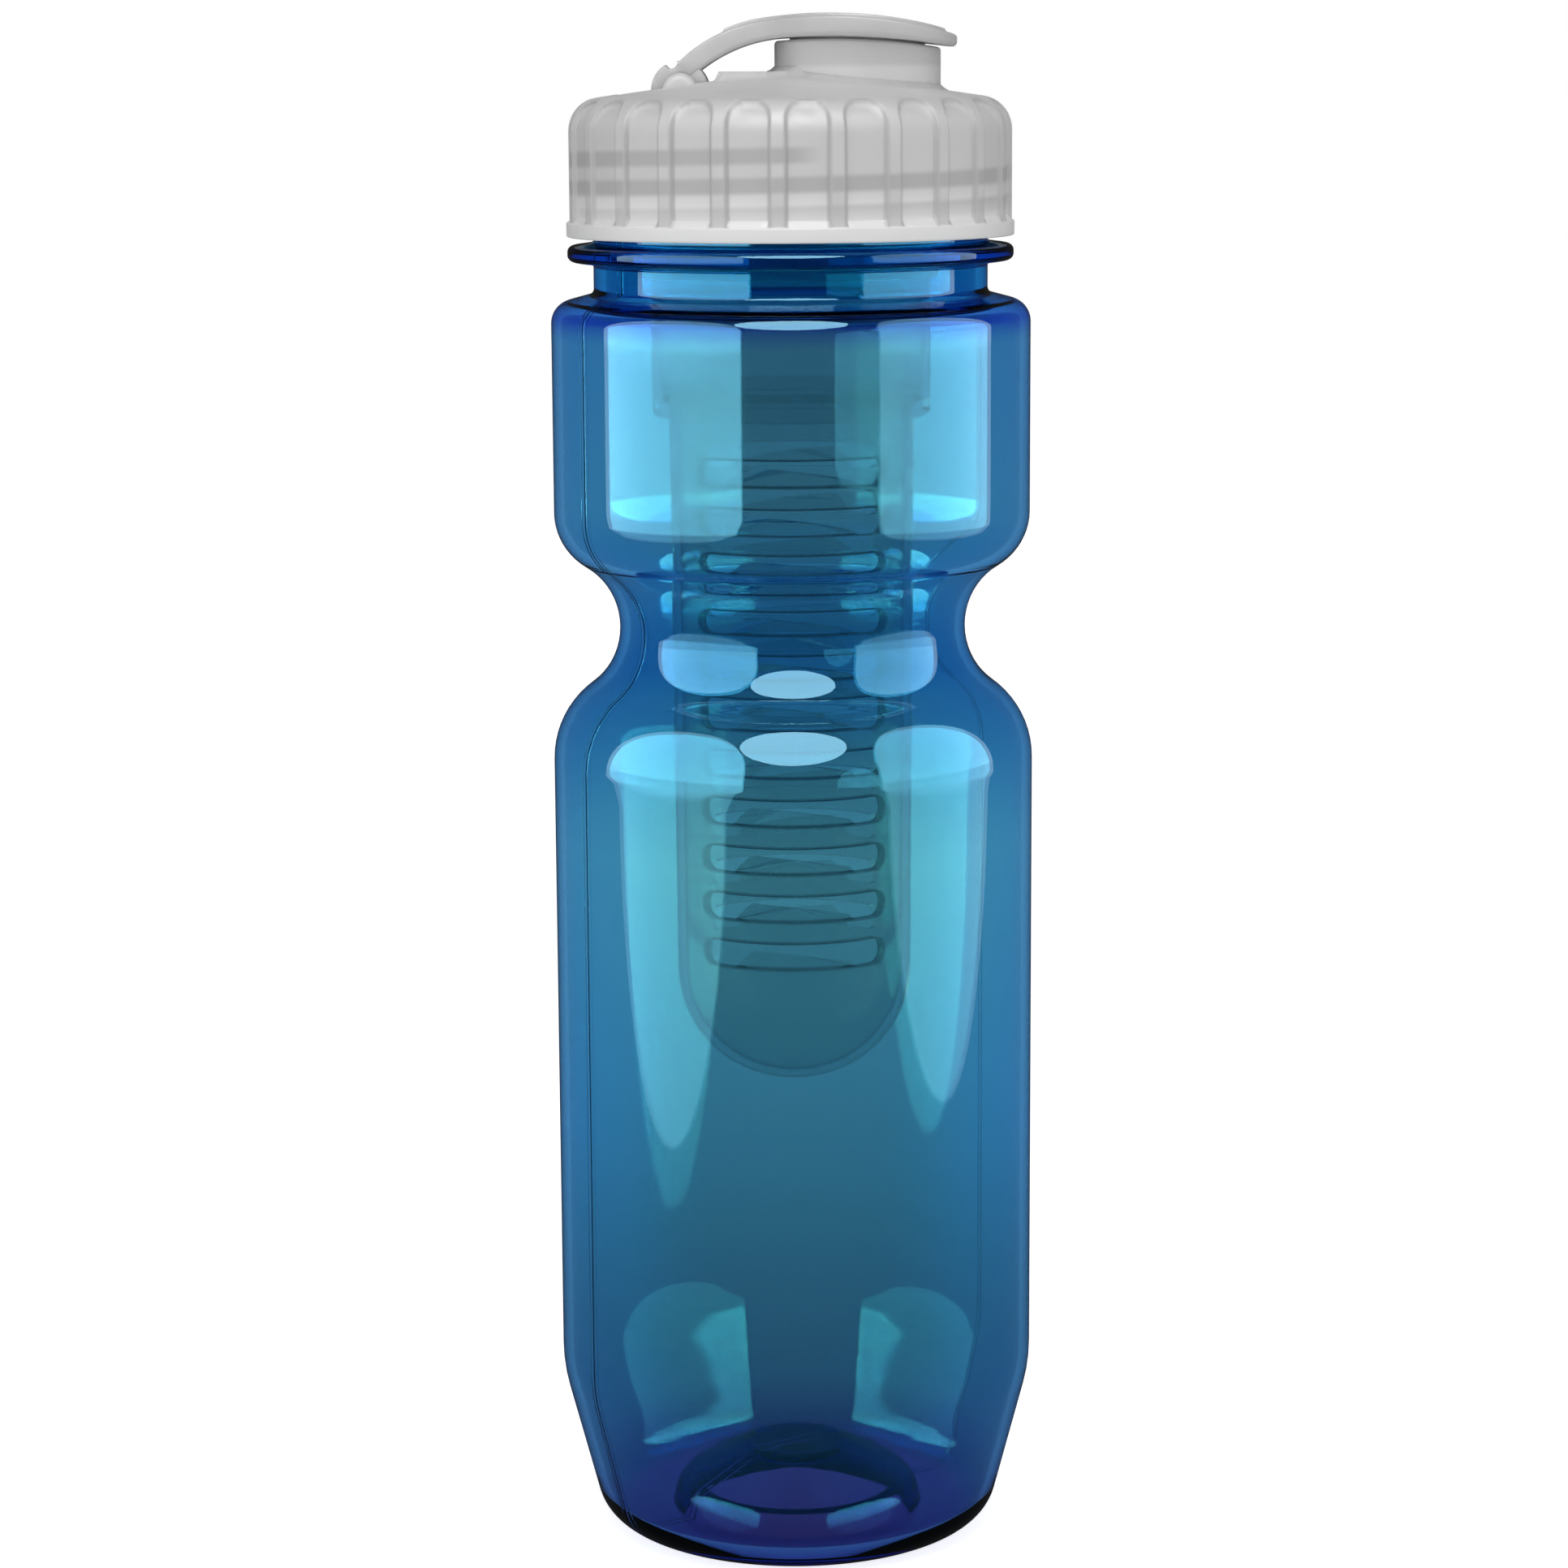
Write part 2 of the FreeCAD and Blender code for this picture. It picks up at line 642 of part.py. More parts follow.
def infuser_basket():
    lip_radius_out = collar_bore_radius - moving_gap
    lip_top_z = seat_z + basket_lip_height
    bottom_radius = basket_radius - basket_taper
    bottom_z = seat_z - basket_depth
    bottom_round = bottom_radius * basket_round_share
    basket = lathe([
        (basket_radius - basket_wall, lip_top_z, 0),
        (lip_radius_out, lip_top_z, 0),
        (lip_radius_out, seat_z, 0),
        (basket_radius, seat_z, 0),
        (bottom_radius, bottom_z, bottom_round),
        (0, bottom_z, 0),
        (0, bottom_z + basket_wall, 0),
        (bottom_radius - basket_wall, bottom_z + basket_wall, bottom_round - basket_wall),
    ])
    slots = []
    for i in range(slot_count):
        for facing_deg in (-90, 90):
            slots.append(basket_slot(seat_z - slot_top_drop - i * slot_pitch, facing_deg))
    return basket.cut(slots)


pieces = {
    "bottle_body": bottle_body,
    "screw_cap": screw_cap,
    "cap_seal": cap_seal,
    "flip_lid": flip_lid,
    "hinge_pin": hinge_pin,
    "spout_stopper": spout_stopper,
    "infuser_collar": infuser_collar,
    "infuser_basket": infuser_basket,
}
os.makedirs("parts", exist_ok=True)
for name, make in pieces.items():
    shape = make()
    print(name, len(shape.Solids), "solid", shape.isValid(), round(shape.Volume, 1))
    shape.Solids[0].exportStep("parts/" + name + ".step")
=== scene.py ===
import bmesh
import bpy
import math
from mathutils import Euler, Matrix, Vector


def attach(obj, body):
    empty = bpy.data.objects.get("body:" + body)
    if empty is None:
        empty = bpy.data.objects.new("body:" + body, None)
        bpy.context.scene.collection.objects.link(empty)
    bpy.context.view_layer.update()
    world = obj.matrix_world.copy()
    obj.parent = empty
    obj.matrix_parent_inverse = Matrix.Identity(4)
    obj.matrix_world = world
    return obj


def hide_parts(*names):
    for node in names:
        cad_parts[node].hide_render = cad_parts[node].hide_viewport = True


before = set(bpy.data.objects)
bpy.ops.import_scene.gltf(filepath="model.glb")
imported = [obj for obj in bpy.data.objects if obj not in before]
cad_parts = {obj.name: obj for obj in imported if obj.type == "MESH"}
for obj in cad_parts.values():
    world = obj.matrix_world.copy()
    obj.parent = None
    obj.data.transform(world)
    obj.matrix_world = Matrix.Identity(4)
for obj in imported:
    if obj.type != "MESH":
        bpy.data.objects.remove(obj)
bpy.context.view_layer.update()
mm = 0.001
mergeGap = mm / 1000
overrun = 20.0  # how far a cutting tool reaches past its cut, in millimetres
fullTurn = 2 * math.pi
white = (1, 1, 1, 1)
print("frame loaded:", sorted(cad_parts))


# Small helpers for node trees
def addNode(tree, kind, inputs=None, **settings):
    node = tree.nodes.new(kind)
    for name, value in settings.items():
        setattr(node, name, value)
    feedAll(tree, node, inputs or {})
    return node


def feedAll(tree, node, inputs):
    for key, value in inputs.items():
        feed(tree, node.inputs[key], value)


def feed(tree, socket, value):
    if isinstance(value, bpy.types.NodeSocket):
        tree.links.new(value, socket)
    else:
        socket.default_value = value


def calc(tree, operation, *values):  # one Math node, for geometry and shader trees alike
    node = tree.nodes.new("ShaderNodeMath")
    node.operation = operation
    for socket, value in zip(node.inputs, values):
        feed(tree, socket, value)
    return node.outputs[0]


def ramp(tree, value, low, high):  # smooth step from 0 at low to 1 at high
    inputs = {"Value": value, "From Min": low, "From Max": high}
    return addNode(tree, "ShaderNodeMapRange", inputs, interpolation_type="SMOOTHSTEP").outputs["Result"]


def blend(tree, share, first, second, how="MIX"):  # colour mix
    node = addNode(tree, "ShaderNodeMix", data_type="RGBA", blend_type=how)
    for socket, value in zip((node.inputs[0], node.inputs[6], node.inputs[7]), (share, first, second)):
        feed(tree, socket, value)
    return node.outputs[2]


def multiply(tree, first, second):  # colour times colour
    return blend(tree, 1, first, second, "MULTIPLY")


def plus(tree, first, second):
    return calc(tree, "ADD", first, second)


def minus(tree, first, second):
    return calc(tree, "SUBTRACT", first, second)


def times(tree, first, second):
    return calc(tree, "MULTIPLY", first, second)


def hypot(tree, first, second):
    return calc(tree, "SQRT", plus(tree, calc(tree, "POWER", first, 2), calc(tree, "POWER", second, 2)))


def grey(value):
    return (value, value, value, 1)


def shaded(colour, share):
    return tuple(share * part for part in colour[:3]) + (1,)


def openTree(name, kind, inputs, outputs):  # sockets by name and sort
    tree = bpy.data.node_groups.new(name, kind)
    for way, sockets in (("INPUT", inputs), ("OUTPUT", outputs)):
        for socket, sort in sockets.items():
            tree.interface.new_socket(socket, in_out=way, socket_type="NodeSocket" + sort)
    return tree, addNode(tree, "NodeGroupInput")


def closeTree(tree, geometry, material):  # one plain mesh in its material
    solid = addNode(tree, "GeometryNodeRealizeInstances", {"Geometry": geometry})
    coated = addNode(tree, "GeometryNodeSetMaterial", {"Geometry": solid.outputs[0], "Material": material})
    addNode(tree, "NodeGroupOutput", {"Geometry": coated.outputs[0]})


# Outlines: corners are (radius, height, rounding) in millimetres
def shares(whole, steps):  # from 0 to the whole length or turn, in equal steps
    return [whole * i / steps for i in range(steps + 1)]


def cornerArc(before, corner, after, rounding, stepDeg):
    back = (before - corner).normalized()
    on = (after - corner).normalized()
    half = back.angle(on) / 2
    centre = corner + (back + on).normalized() * (rounding / math.sin(half))
    start = corner + back * (rounding / math.tan(half)) - centre
    end = corner + on * (rounding / math.tan(half)) - centre
    sweep = math.atan2(start.cross(end), start.dot(end))
    steps = max(2, math.ceil(abs(math.degrees(sweep)) / stepDeg))
    return [centre + Matrix.Rotation(a, 2) @ start for a in shares(sweep, steps)]


def roundedPath(corners, stepDeg=6):
    points = [Vector(corner[:2]) for corner in corners]
    path = [points[0]]
    for i in range(1, len(points) - 1):
        if corners[i][2] > 0:
            path += cornerArc(points[i - 1], points[i], points[i + 1], corners[i][2], stepDeg)
        else:
            path.append(points[i])
    return path + [points[-1]]


def roundedLoop(corners, stepDeg=9):  # closed outline that starts and ends halfway along its first run
    first, second = Vector(corners[0][:2]), Vector(corners[1][:2])
    middle = (*((first + second) / 2), 0)
    return roundedPath([middle] + list(corners[1:]) + [corners[0], middle], stepDeg)


def fillRuns(path, longest):  # longest is a rule: how long a run may be, from its middle
    filled = [path[0]]
    for start, end in zip(path, path[1:]):
        parts = max(1, math.ceil((end - start).length / longest((start + end) / 2)))
        filled += [start.lerp(end, i / parts) for i in range(1, parts + 1)]
    return filled


def wallInside(corners, walls):  # the corners moved to their left by the wall of each run
    points = [Vector(corner[:2]) for corner in corners]
    ways = [(b - a).normalized() for a, b in zip(points, points[1:])]
    lines = [p + Vector((-way.y, way.x)) * wall for p, way, wall in zip(points, ways, walls)]
    inside = [(*lines[0], 0)]
    for i in range(1, len(ways)):
        bend = ways[i - 1].cross(ways[i])
        meet = lines[i - 1] + ways[i - 1] * ((lines[i] - lines[i - 1]).cross(ways[i]) / bend)
        inside.append((*meet, max(0, corners[i][2] - math.copysign(walls[i], bend))))
    end = points[-1] + Vector((-ways[-1].y, ways[-1].x)) * walls[-1]
    return inside + [(*end, corners[-1][2])]


def leans(path):  # outward direction at each point of an outline
    ways = [(b - a).normalized() for a, b in zip(path, path[1:])]
    both = [(a + b).normalized() for a, b in zip([ways[0]] + ways, ways + [ways[-1]])]
    return [Vector((way.y, -way.x)) for way in both]


def outlineMesh(name, path, marks=None):  # marks are float attributes, one value for each point
    mesh = bpy.data.meshes.new(name)
    edges = [(i, i + 1) for i in range(len(path) - 1)]
    mesh.from_pydata([(p.x, 0, p.y) for p in path], edges, [])
    for mark, values in (marks or {}).items():
        mesh.attributes.new(mark, "FLOAT", "POINT").data.foreach_set("value", values)
    return mesh


# Pieces and their meshes
def newPiece(name, mesh):
    piece = bpy.data.objects.new(name, mesh)
    bpy.context.scene.collection.objects.link(piece)
    return piece


def dropPiece(piece):
    mesh = piece.data
    bpy.data.objects.remove(piece)
    bpy.data.meshes.remove(mesh)


def keepResult(piece, modifier):  # the modifier's result becomes the plain mesh
    graph = bpy.context.evaluated_depsgraph_get()
    grown = bpy.data.meshes.new_from_object(piece.evaluated_get(graph))
    piece.modifiers.remove(modifier)
    piece.data = grown
    grown.name = piece.name
    return piece


def growFrom(piece, tree, **values):  # runs a geometry tree on the piece
    modifier = piece.modifiers.new(tree.name, "NODES")
    modifier.node_group = tree
    for item in tree.interface.items_tree:
        if item.in_out == "INPUT" and item.name in values:
            modifier[item.identifier] = values[item.name]
    return keepResult(piece, modifier)


def carve(piece, tool, operation):
    modifier = piece.modifiers.new(operation, "BOOLEAN")
    modifier.object = tool
    modifier.operation = operation
    modifier.solver = "EXACT"
    keepResult(piece, modifier)
    dropPiece(tool)


def bandFaces(count, rows, loop=False):  # faces between rings of points
    faces = []
    for i in range(rows if loop else rows - 1):
        here, there = i * count, (i + 1) % rows * count
        for j in range(count):
            after = (j + 1) % count
            faces.append((here + j, here + after, there + after, there + j))
    return faces


def skin(name, rings, loop=False):  # rings of points in millimetres; loop joins the last ring to the first
    count = len(rings[0])
    points = [Vector(point) * mm for ring in rings for point in ring]
    faces = bandFaces(count, len(rings), loop)
    if not loop:
        faces += [tuple(range(count)), tuple(range(len(points) - count, len(points)))]
    return meshFrom(name, points, faces)


def meshFrom(name, points, faces):  # faces are turned outward
    mesh = bpy.data.meshes.new(name)
    mesh.from_pydata(points, [], faces)
    shape = bmesh.new()
    shape.from_mesh(mesh)
    bmesh.ops.recalc_face_normals(shape, faces=shape.faces)
    shape.to_mesh(mesh)
    shape.free()
    return mesh


def prism(name, outline, way):  # straight bar from a flat outline
    start = [Vector(point) for point in outline]
    return newPiece(name, skin(name, [start, [point + Vector(way) for point in start]]))


def joinPieces(name, parts, material):  # one piece from several closed shells
    shape = bmesh.new()
    for part in parts:
        shape.from_mesh(part.data)
    mesh = bpy.data.meshes.new(name)
    shape.to_mesh(mesh)
    shape.free()
    for part in parts:
        dropPiece(part)
    mesh.materials.append(material)
    return newPiece(name, mesh)


def finishPiece(piece, body, slot, *nodes, sharpDeg=35):
    mesh = piece.data
    mesh.shade_smooth()
    mesh.set_sharp_from_angle(angle=math.radians(sharpDeg))
    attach(piece, body)
    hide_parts(*nodes)
    mesh.calc_loop_triangles()
    print("made", piece.name, len(mesh.vertices), "points", len(mesh.loop_triangles), "triangles")


# Helical ridge: 1 on the crest and 0 beside it, from an angle and a height in millimetres
def helixRidge(tree, angle, height, thread):
    back = minus(tree, math.radians(thread["endDeg"]), angle)
    share = calc(tree, "FRACT", calc(tree, "DIVIDE", back, fullTurn))
    drop = calc(tree, "DIVIDE", minus(tree, thread["endZ"], height), thread["pitch"])
    turn = plus(tree, share, calc(tree, "ROUND", minus(tree, drop, share)))
    aside = times(tree, minus(tree, drop, turn), thread["pitch"])
    crest = ramp(tree, calc(tree, "ABSOLUTE", aside), thread["root"] / 2, thread["crest"] / 2)
    start = ramp(tree, turn, 0, thread["fadeTurns"])
    end = ramp(tree, turn, thread["turns"], thread["turns"] - thread["fadeTurns"])
    return times(tree, crest, times(tree, start, end))


# The lathe spins an outline; marks on it say which rows carry a thread, grip panels or the dome's relief
def rowMark(tree, outline, row, name):
    mark = addNode(tree, "GeometryNodeInputNamedAttribute", {"Name": name}, data_type="FLOAT")
    node = addNode(tree, "GeometryNodeSampleIndex", data_type="FLOAT", inputs={
        "Geometry": outline, "Index": row, "Value": mark.outputs["Attribute"]})
    return node.outputs["Value"]


def columnAngles(tree, column, panel):  # columns crowd together at the panels' edges
    pitch = fullTurn / panel["count"]
    turn = calc(tree, "DIVIDE", column, panel["columns"])
    nearest = calc(tree, "ROUND", turn)
    aside = minus(tree, turn, nearest)
    share = times(tree, calc(tree, "ABSOLUTE", aside), 2)
    spread = 0
    for start, end, length in panel["bands"]:
        band = addNode(tree, "ShaderNodeMapRange", {
            "Value": share, "From Min": start, "From Max": end, "To Max": length})
        spread = plus(tree, spread, band.outputs["Result"])
    local = times(tree, calc(tree, "SIGN", aside), times(tree, spread, pitch / 2))
    across = plus(tree, times(tree, nearest, pitch), local)
    return minus(tree, math.radians(panel["middleDeg"]), across), local


def panelDip(tree, away, height, panel):  # 1 on a panel's floor and 0 on the ribs
    inner = panel["width"] / 2 - panel["topRadius"]
    over = calc(tree, "MAXIMUM", minus(tree, calc(tree, "ABSOLUTE", away), inner), 0)
    above = calc(tree, "MAXIMUM", minus(tree, height, panel["topZ"] - panel["topRadius"]), 0)
    edge = panel["topRadius"]
    return ramp(tree, hypot(tree, over, above), edge + panel["soft"] / 2, edge - panel["soft"] / 2)


def latheTree(name, thread=None, panel=None, relief=None):
    tree, start = openTree(name, "GeometryNodeTree", {
        "Outline": "Geometry", "Segments": "Int", "Ridge Height": "Float", "Panel Depth": "Float",
        "Material": "Material"}, {"Geometry": "Geometry"})
    outline, segments = start.outputs["Outline"], start.outputs["Segments"]
    count = addNode(tree, "GeometryNodeAttributeDomainSize", {"Geometry": outline}).outputs["Point Count"]
    grid = addNode(tree, "GeometryNodeMeshGrid", {
        "Size X": 1, "Size Y": 1, "Vertices X": count, "Vertices Y": plus(tree, segments, 1)})
    place = addNode(tree, "ShaderNodeSeparateXYZ", {
        "Vector": addNode(tree, "GeometryNodeInputPosition").outputs[0]})
    last = minus(tree, count, 1)
    row = calc(tree, "ROUND", times(tree, plus(tree, place.outputs["X"], 0.5), last))
    angle = times(tree, place.outputs["Y"], -fullTurn)
    spot = addNode(tree, "GeometryNodeSampleIndex", data_type="FLOAT_VECTOR", inputs={
        "Geometry": outline, "Index": row, "Value": addNode(tree, "GeometryNodeInputPosition").outputs[0]})
    across = addNode(tree, "ShaderNodeSeparateXYZ", {"Vector": spot.outputs["Value"]})
    radius, height = across.outputs["X"], across.outputs["Z"]

    def mark(name):
        return rowMark(tree, outline, row, name)

    if panel:
        column = calc(tree, "ROUND", times(tree, plus(tree, place.outputs["Y"], 0.5), segments))
        angle, local = columnAngles(tree, column, panel)
        away = times(tree, radius, calc(tree, "SINE", local))
        dip = times(tree, panelDip(tree, away, height, panel), mark("panel"))
        dip = times(tree, dip, start.outputs["Panel Depth"])
        sunkZ = times(tree, dip, mark("leanZ"))
        radius = minus(tree, radius, times(tree, dip, mark("leanX")))
        height = minus(tree, height, sunkZ)
    if thread:
        ridge = times(tree, helixRidge(tree, angle, height, thread), mark("thread"))
        radius = plus(tree, radius, times(tree, ridge, start.outputs["Ridge Height"]))
    x = times(tree, radius, calc(tree, "COSINE", angle))
    y = times(tree, radius, calc(tree, "SINE", angle))
    if relief:
        raised = minus(tree, relief(tree, x, y, height), height)
        height = plus(tree, height, times(tree, raised, mark("dome")))
    spun = addNode(tree, "ShaderNodeCombineXYZ", {"X": x, "Y": y, "Z": height})
    metres = addNode(tree, "ShaderNodeVectorMath", {
        "Vector": spun.outputs[0], "Scale": mm}, operation="SCALE")
    shape = addNode(tree, "GeometryNodeSetPosition", {
        "Geometry": grid.outputs["Mesh"], "Position": metres.outputs["Vector"]})
    closed = addNode(tree, "GeometryNodeMergeByDistance", {
        "Geometry": shape.outputs[0], "Distance": mergeGap})
    closeTree(tree, closed.outputs[0], start.outputs["Material"])
    return tree


plainLathe = latheTree("plainLathe")


def turned(name, path, material, segments, tree=None, marks=None, **values):
    piece = newPiece(name, outlineMesh(name + "Outline", path, marks))
    return growFrom(piece, tree or plainLathe, **{"Segments": segments, "Material": material}, **values)


# Materials
def newMaterial(name):
    material = bpy.data.materials.new(name)
    material.use_nodes = True
    tree = material.node_tree
    return material, tree, tree.nodes["Principled BSDF"]


def objectSpot(tree):  # x, y and z of the piece in millimetres
    spot = addNode(tree, "ShaderNodeVectorMath", {
        "Vector": addNode(tree, "ShaderNodeTexCoord").outputs["Object"], "Scale": 1 / mm}, operation="SCALE")
    return addNode(tree, "ShaderNodeSeparateXYZ", {"Vector": spot.outputs["Vector"]}).outputs


mould = dict(detail=3, roughness=0.6, mottleScale=90, mottleDetail=2, low=0.3, high=0.7)


def grainGroup():  # fine moulded grain: a value between two ends, a slow mottle, and a bumped normal
    group, start = openTree(
        "mouldedGrain", "ShaderNodeTree",
        {"Scale": "Float", "Low": "Float", "High": "Float", "Depth": "Float"},
        {"Value": "Float", "Mottle": "Float", "Normal": "Vector"})
    place = addNode(group, "ShaderNodeTexCoord").outputs["Object"]
    fine = addNode(group, "ShaderNodeTexNoise", {
        "Vector": place, "Scale": start.outputs["Scale"], "Detail": mould["detail"],
        "Roughness": mould["roughness"]})
    slow = addNode(group, "ShaderNodeTexNoise", {
        "Vector": place, "Scale": mould["mottleScale"], "Detail": mould["mottleDetail"]})
    value = addNode(group, "ShaderNodeMapRange", {
        "Value": fine.outputs[0], "From Min": mould["low"], "From Max": mould["high"],
        "To Min": start.outputs["Low"], "To Max": start.outputs["High"]})
    bump = addNode(group, "ShaderNodeBump", {
        "Strength": 1, "Distance": start.outputs["Depth"], "Height": fine.outputs[0]})
    addNode(group, "NodeGroupOutput", {
        "Value": value.outputs["Result"], "Mottle": slow.outputs[0], "Normal": bump.outputs["Normal"]})
    return group


grain = grainGroup()


def addGrain(tree, shader, scale, low, high, depth):
    node = addNode(tree, "ShaderNodeGroup", node_tree=grain)
    feedAll(tree, node, {"Scale": scale, "Low": low, "High": high, "Depth": depth * mm})
    feedAll(tree, shader, {"Roughness": node.outputs["Value"], "Normal": node.outputs["Normal"]})
    return node.outputs["Mottle"]


def facing(tree):  # 0 where a wall is seen square on, 1 where it is seen along its face
    return addNode(tree, "ShaderNodeLayerWeight", {"Blend": 0.5}).outputs["Facing"]


tintedWall = dict(
    stops=(  # height, colour; the blue tint with painted light and shade by height, darker at the foot, the waist and the shoulder
        (3, (0.13, 0.13, 0.28)), (12, (0.2, 0.3, 0.38)), (38, (0.24, 0.41, 0.43)), (65, (0.3, 0.52, 0.55)),
        (110, (0.385, 0.6, 0.575)), (137, (0.12, 0.34, 0.47)), (160, (0.32, 0.51, 0.53)),
        (186, (0.3, 0.48, 0.53)), (189, (0.13, 0.2, 0.5)), (194, (0.045, 0.34, 0.45))),
    top=220.0, base=(0.4, 0.12, 0.33, 1), baseRadius=(30, 25), baseZ=(14, 11),
    # painted sheen: walls seen at a slant are painted lighter and bluer
    slantSheen=(1.06, 1.2, 1.36, 1), slantStart=0.06, slantFull=0.36,
    seamDeg=31.0, seamHalf=0.3, seamDepth=0.03, seamShade=0.75, seamColour=(0.1, 0.1, 0.15, 1),
    grain=(60, 0.015, 0.03, 0.0), ior=1.57, tint=(0.34, 0.76, 1.0, 1), specular=0.7,
    absorb=(0.133, 0.62, 0.93, 1), density=450.0,  # per metre of wall
)


def bluePlastic():
    t = tintedWall
    material, tree, shader = newMaterial("bottleBlue")
    addGrain(tree, shader, *t["grain"])
    x, y, z = objectSpot(tree)[:3]
    # the blue tint by height, with painted shade at the foot, the waist and the shoulder
    colours = addNode(tree, "ShaderNodeValToRGB", {"Fac": calc(tree, "DIVIDE", z, t["top"])})
    scale = colours.color_ramp.elements
    scale.remove(scale[1])
    for i, (height, colour) in enumerate(t["stops"]):
        stop = scale[0] if i == 0 else scale.new(height / t["top"])
        stop.position = height / t["top"]
        stop.color = (*colour, 1)
    within = ramp(tree, hypot(tree, x, y), *t["baseRadius"])
    floor = times(tree, within, ramp(tree, z, *t["baseZ"]))
    colour = blend(tree, floor, colours.outputs["Color"], t["base"])
    # painted sheen: a wall seen at a slant is painted lighter and bluer
    slantSheen = blend(tree, ramp(tree, facing(tree), t["slantStart"], t["slantFull"]), white, t["slantSheen"])
    colour = multiply(tree, colour, slantSheen)
    seam = math.radians(t["seamDeg"])  # the mould's parting plane
    away = minus(tree, times(tree, x, math.sin(seam)), times(tree, y, math.cos(seam)))
    line = ramp(tree, calc(tree, "ABSOLUTE", away), t["seamHalf"], 0)
    shade = blend(tree, times(tree, line, t["seamShade"]), white, t["seamColour"])
    ridge = addNode(tree, "ShaderNodeBump", {"Height": line, "Distance": t["seamDepth"] * mm, "Strength": 1})
    feedAll(tree, shader, {
        "Base Color": multiply(tree, colour, shade), "Normal": ridge.outputs["Normal"], "IOR": t["ior"],
        "Transmission Weight": 1, "Specular IOR Level": t["specular"], "Specular Tint": t["tint"]})
    depth = addNode(tree, "ShaderNodeVolumeAbsorption", {"Color": t["absorb"], "Density": t["density"]})
    tree.links.new(depth.outputs[0], tree.nodes["Material Output"].inputs["Volume"])
    return material


# rim: painted shade where a wall is seen edge-on
clearWall = dict(grain=(140, 0.0, 0.02, 0.0), mottleShare=0.93, edgeOnShadeShare=0.3, rim=(0.7, 0.95), ior=1.06)


def clearPlastic(name, colour, line=None):
    c = clearWall
    material, tree, shader = newMaterial(name)
    mottle = addGrain(tree, shader, *c["grain"])
    tone = blend(tree, mottle, shaded(colour, c["mottleShare"]), colour)
    # painted shade: the wall is darker where it is seen edge-on, and along the slots' rims
    rim = ramp(tree, facing(tree), *c["rim"])
    if line:
        around, upright = line(tree)
        rim = calc(tree, "MAXIMUM", around, times(tree, rim, upright))
    tone = blend(tree, rim, tone, shaded(colour, c["edgeOnShadeShare"]))
    feedAll(tree, shader, {"Base Color": tone, "IOR": c["ior"], "Transmission Weight": 1})
    return material


def paintCapLightAndShade(tree, colour, walls):  # painted light and shade on the cap: a tone for the thin panels, lighter low down, and painted shade on the spout, over the thread and along the panels' edges
    x, y, z = objectSpot(tree)[:3]
    angle, radius = calc(tree, "ARCTAN2", y, x), hypot(tree, x, y)
    panel = dict(panels, soft=walls["panelSoft"])
    pitch = fullTurn / panel["count"]
    turn = calc(tree, "DIVIDE", minus(tree, angle, math.radians(panel["middleDeg"])), pitch)
    local = times(tree, minus(tree, turn, calc(tree, "ROUND", turn)), pitch)
    dip = panelDip(tree, times(tree, radius, calc(tree, "SINE", local)), z, panel)
    dip = times(tree, dip, ramp(tree, radius, *walls["panelRadius"]))
    edge = times(tree, times(tree, dip, minus(tree, 1, dip)), 4 * panel["edgeShade"])
    band = times(tree, helixRidge(tree, angle, z, threadShade), ramp(tree, radius, *walls["threadShadowRadius"]))
    band = times(tree, band, ramp(tree, z, *walls["threadShadowZ"]))
    flange = ramp(tree, z, walls["flangeZ"] + walls["flangeSoft"], walls["flangeZ"] - walls["flangeSoft"])
    # painted light: the panels and the flange take a tone for light through their thin wall, lighter on the
    # lower part
    thin = blend(tree, ramp(tree, z, *walls["lowLightZ"]), walls["thin"], walls["clear"])
    colour = blend(tree, calc(tree, "MAXIMUM", dip, flange), colour, thin)
    # painted shade on the spout
    colour = blend(tree, ramp(tree, z, *walls["spoutShadeZ"]), colour, walls["spout"])
    # painted shadow of the thread, in bands
    colour = blend(tree, times(tree, band, walls["threadShadowShare"]), colour, walls["paintedShade"])
    # painted shade along the panels' edges
    return blend(tree, times(tree, edge, minus(tree, 1, flange)), colour, walls["paintedShade"])


frost = dict(
    grain=(900, 0.48, 0.62, 0.004), mottle=(0.3, 0.7), mottleShare=0.95, ior=1.49, scatter=0.25, depth=1.2)


def frostedPlastic(name, tone, walls=None):  # natural polypropylene
    material, tree, shader = newMaterial(name)
    mottle = ramp(tree, addGrain(tree, shader, *frost["grain"]), *frost["mottle"])
    colour = blend(tree, mottle, shaded(tone, frost["mottleShare"]), tone)
    # on the cap: painted light and shade
    if walls:
        colour = paintCapLightAndShade(tree, colour, walls)
    feedAll(tree, shader, {
        "Base Color": colour, "IOR": frost["ior"], "Subsurface Weight": frost["scatter"],
        "Subsurface Scale": frost["depth"] * mm, "Subsurface Radius": (1, 1, 1)})
    return material


rubber = dict(grain=(500, 0.5, 0.66, 0.003), mottleShare=0.92, scatter=0.2, depth=1.0)


def softRubber(name, light):
    material, tree, shader = newMaterial(name)
    mottle = addGrain(tree, shader, *rubber["grain"])
    feedAll(tree, shader, {
        "Base Color": blend(tree, mottle, shaded(light, rubber["mottleShare"]), light),
        "Subsurface Weight": rubber["scatter"], "Subsurface Scale": rubber["depth"] * mm})
    return material


steel = dict(grain=(700, 0.2, 0.36, 0.002), dark=(0.6, 0.6, 0.62, 1), light=(0.72, 0.72, 0.74, 1))


def pinSteel():
    material, tree, shader = newMaterial("pinSteel")
    mottle = addGrain(tree, shader, *steel["grain"])
    feedAll(tree, shader, {"Base Color": blend(tree, mottle, steel["dark"], steel["light"]), "Metallic": 1})
    return material


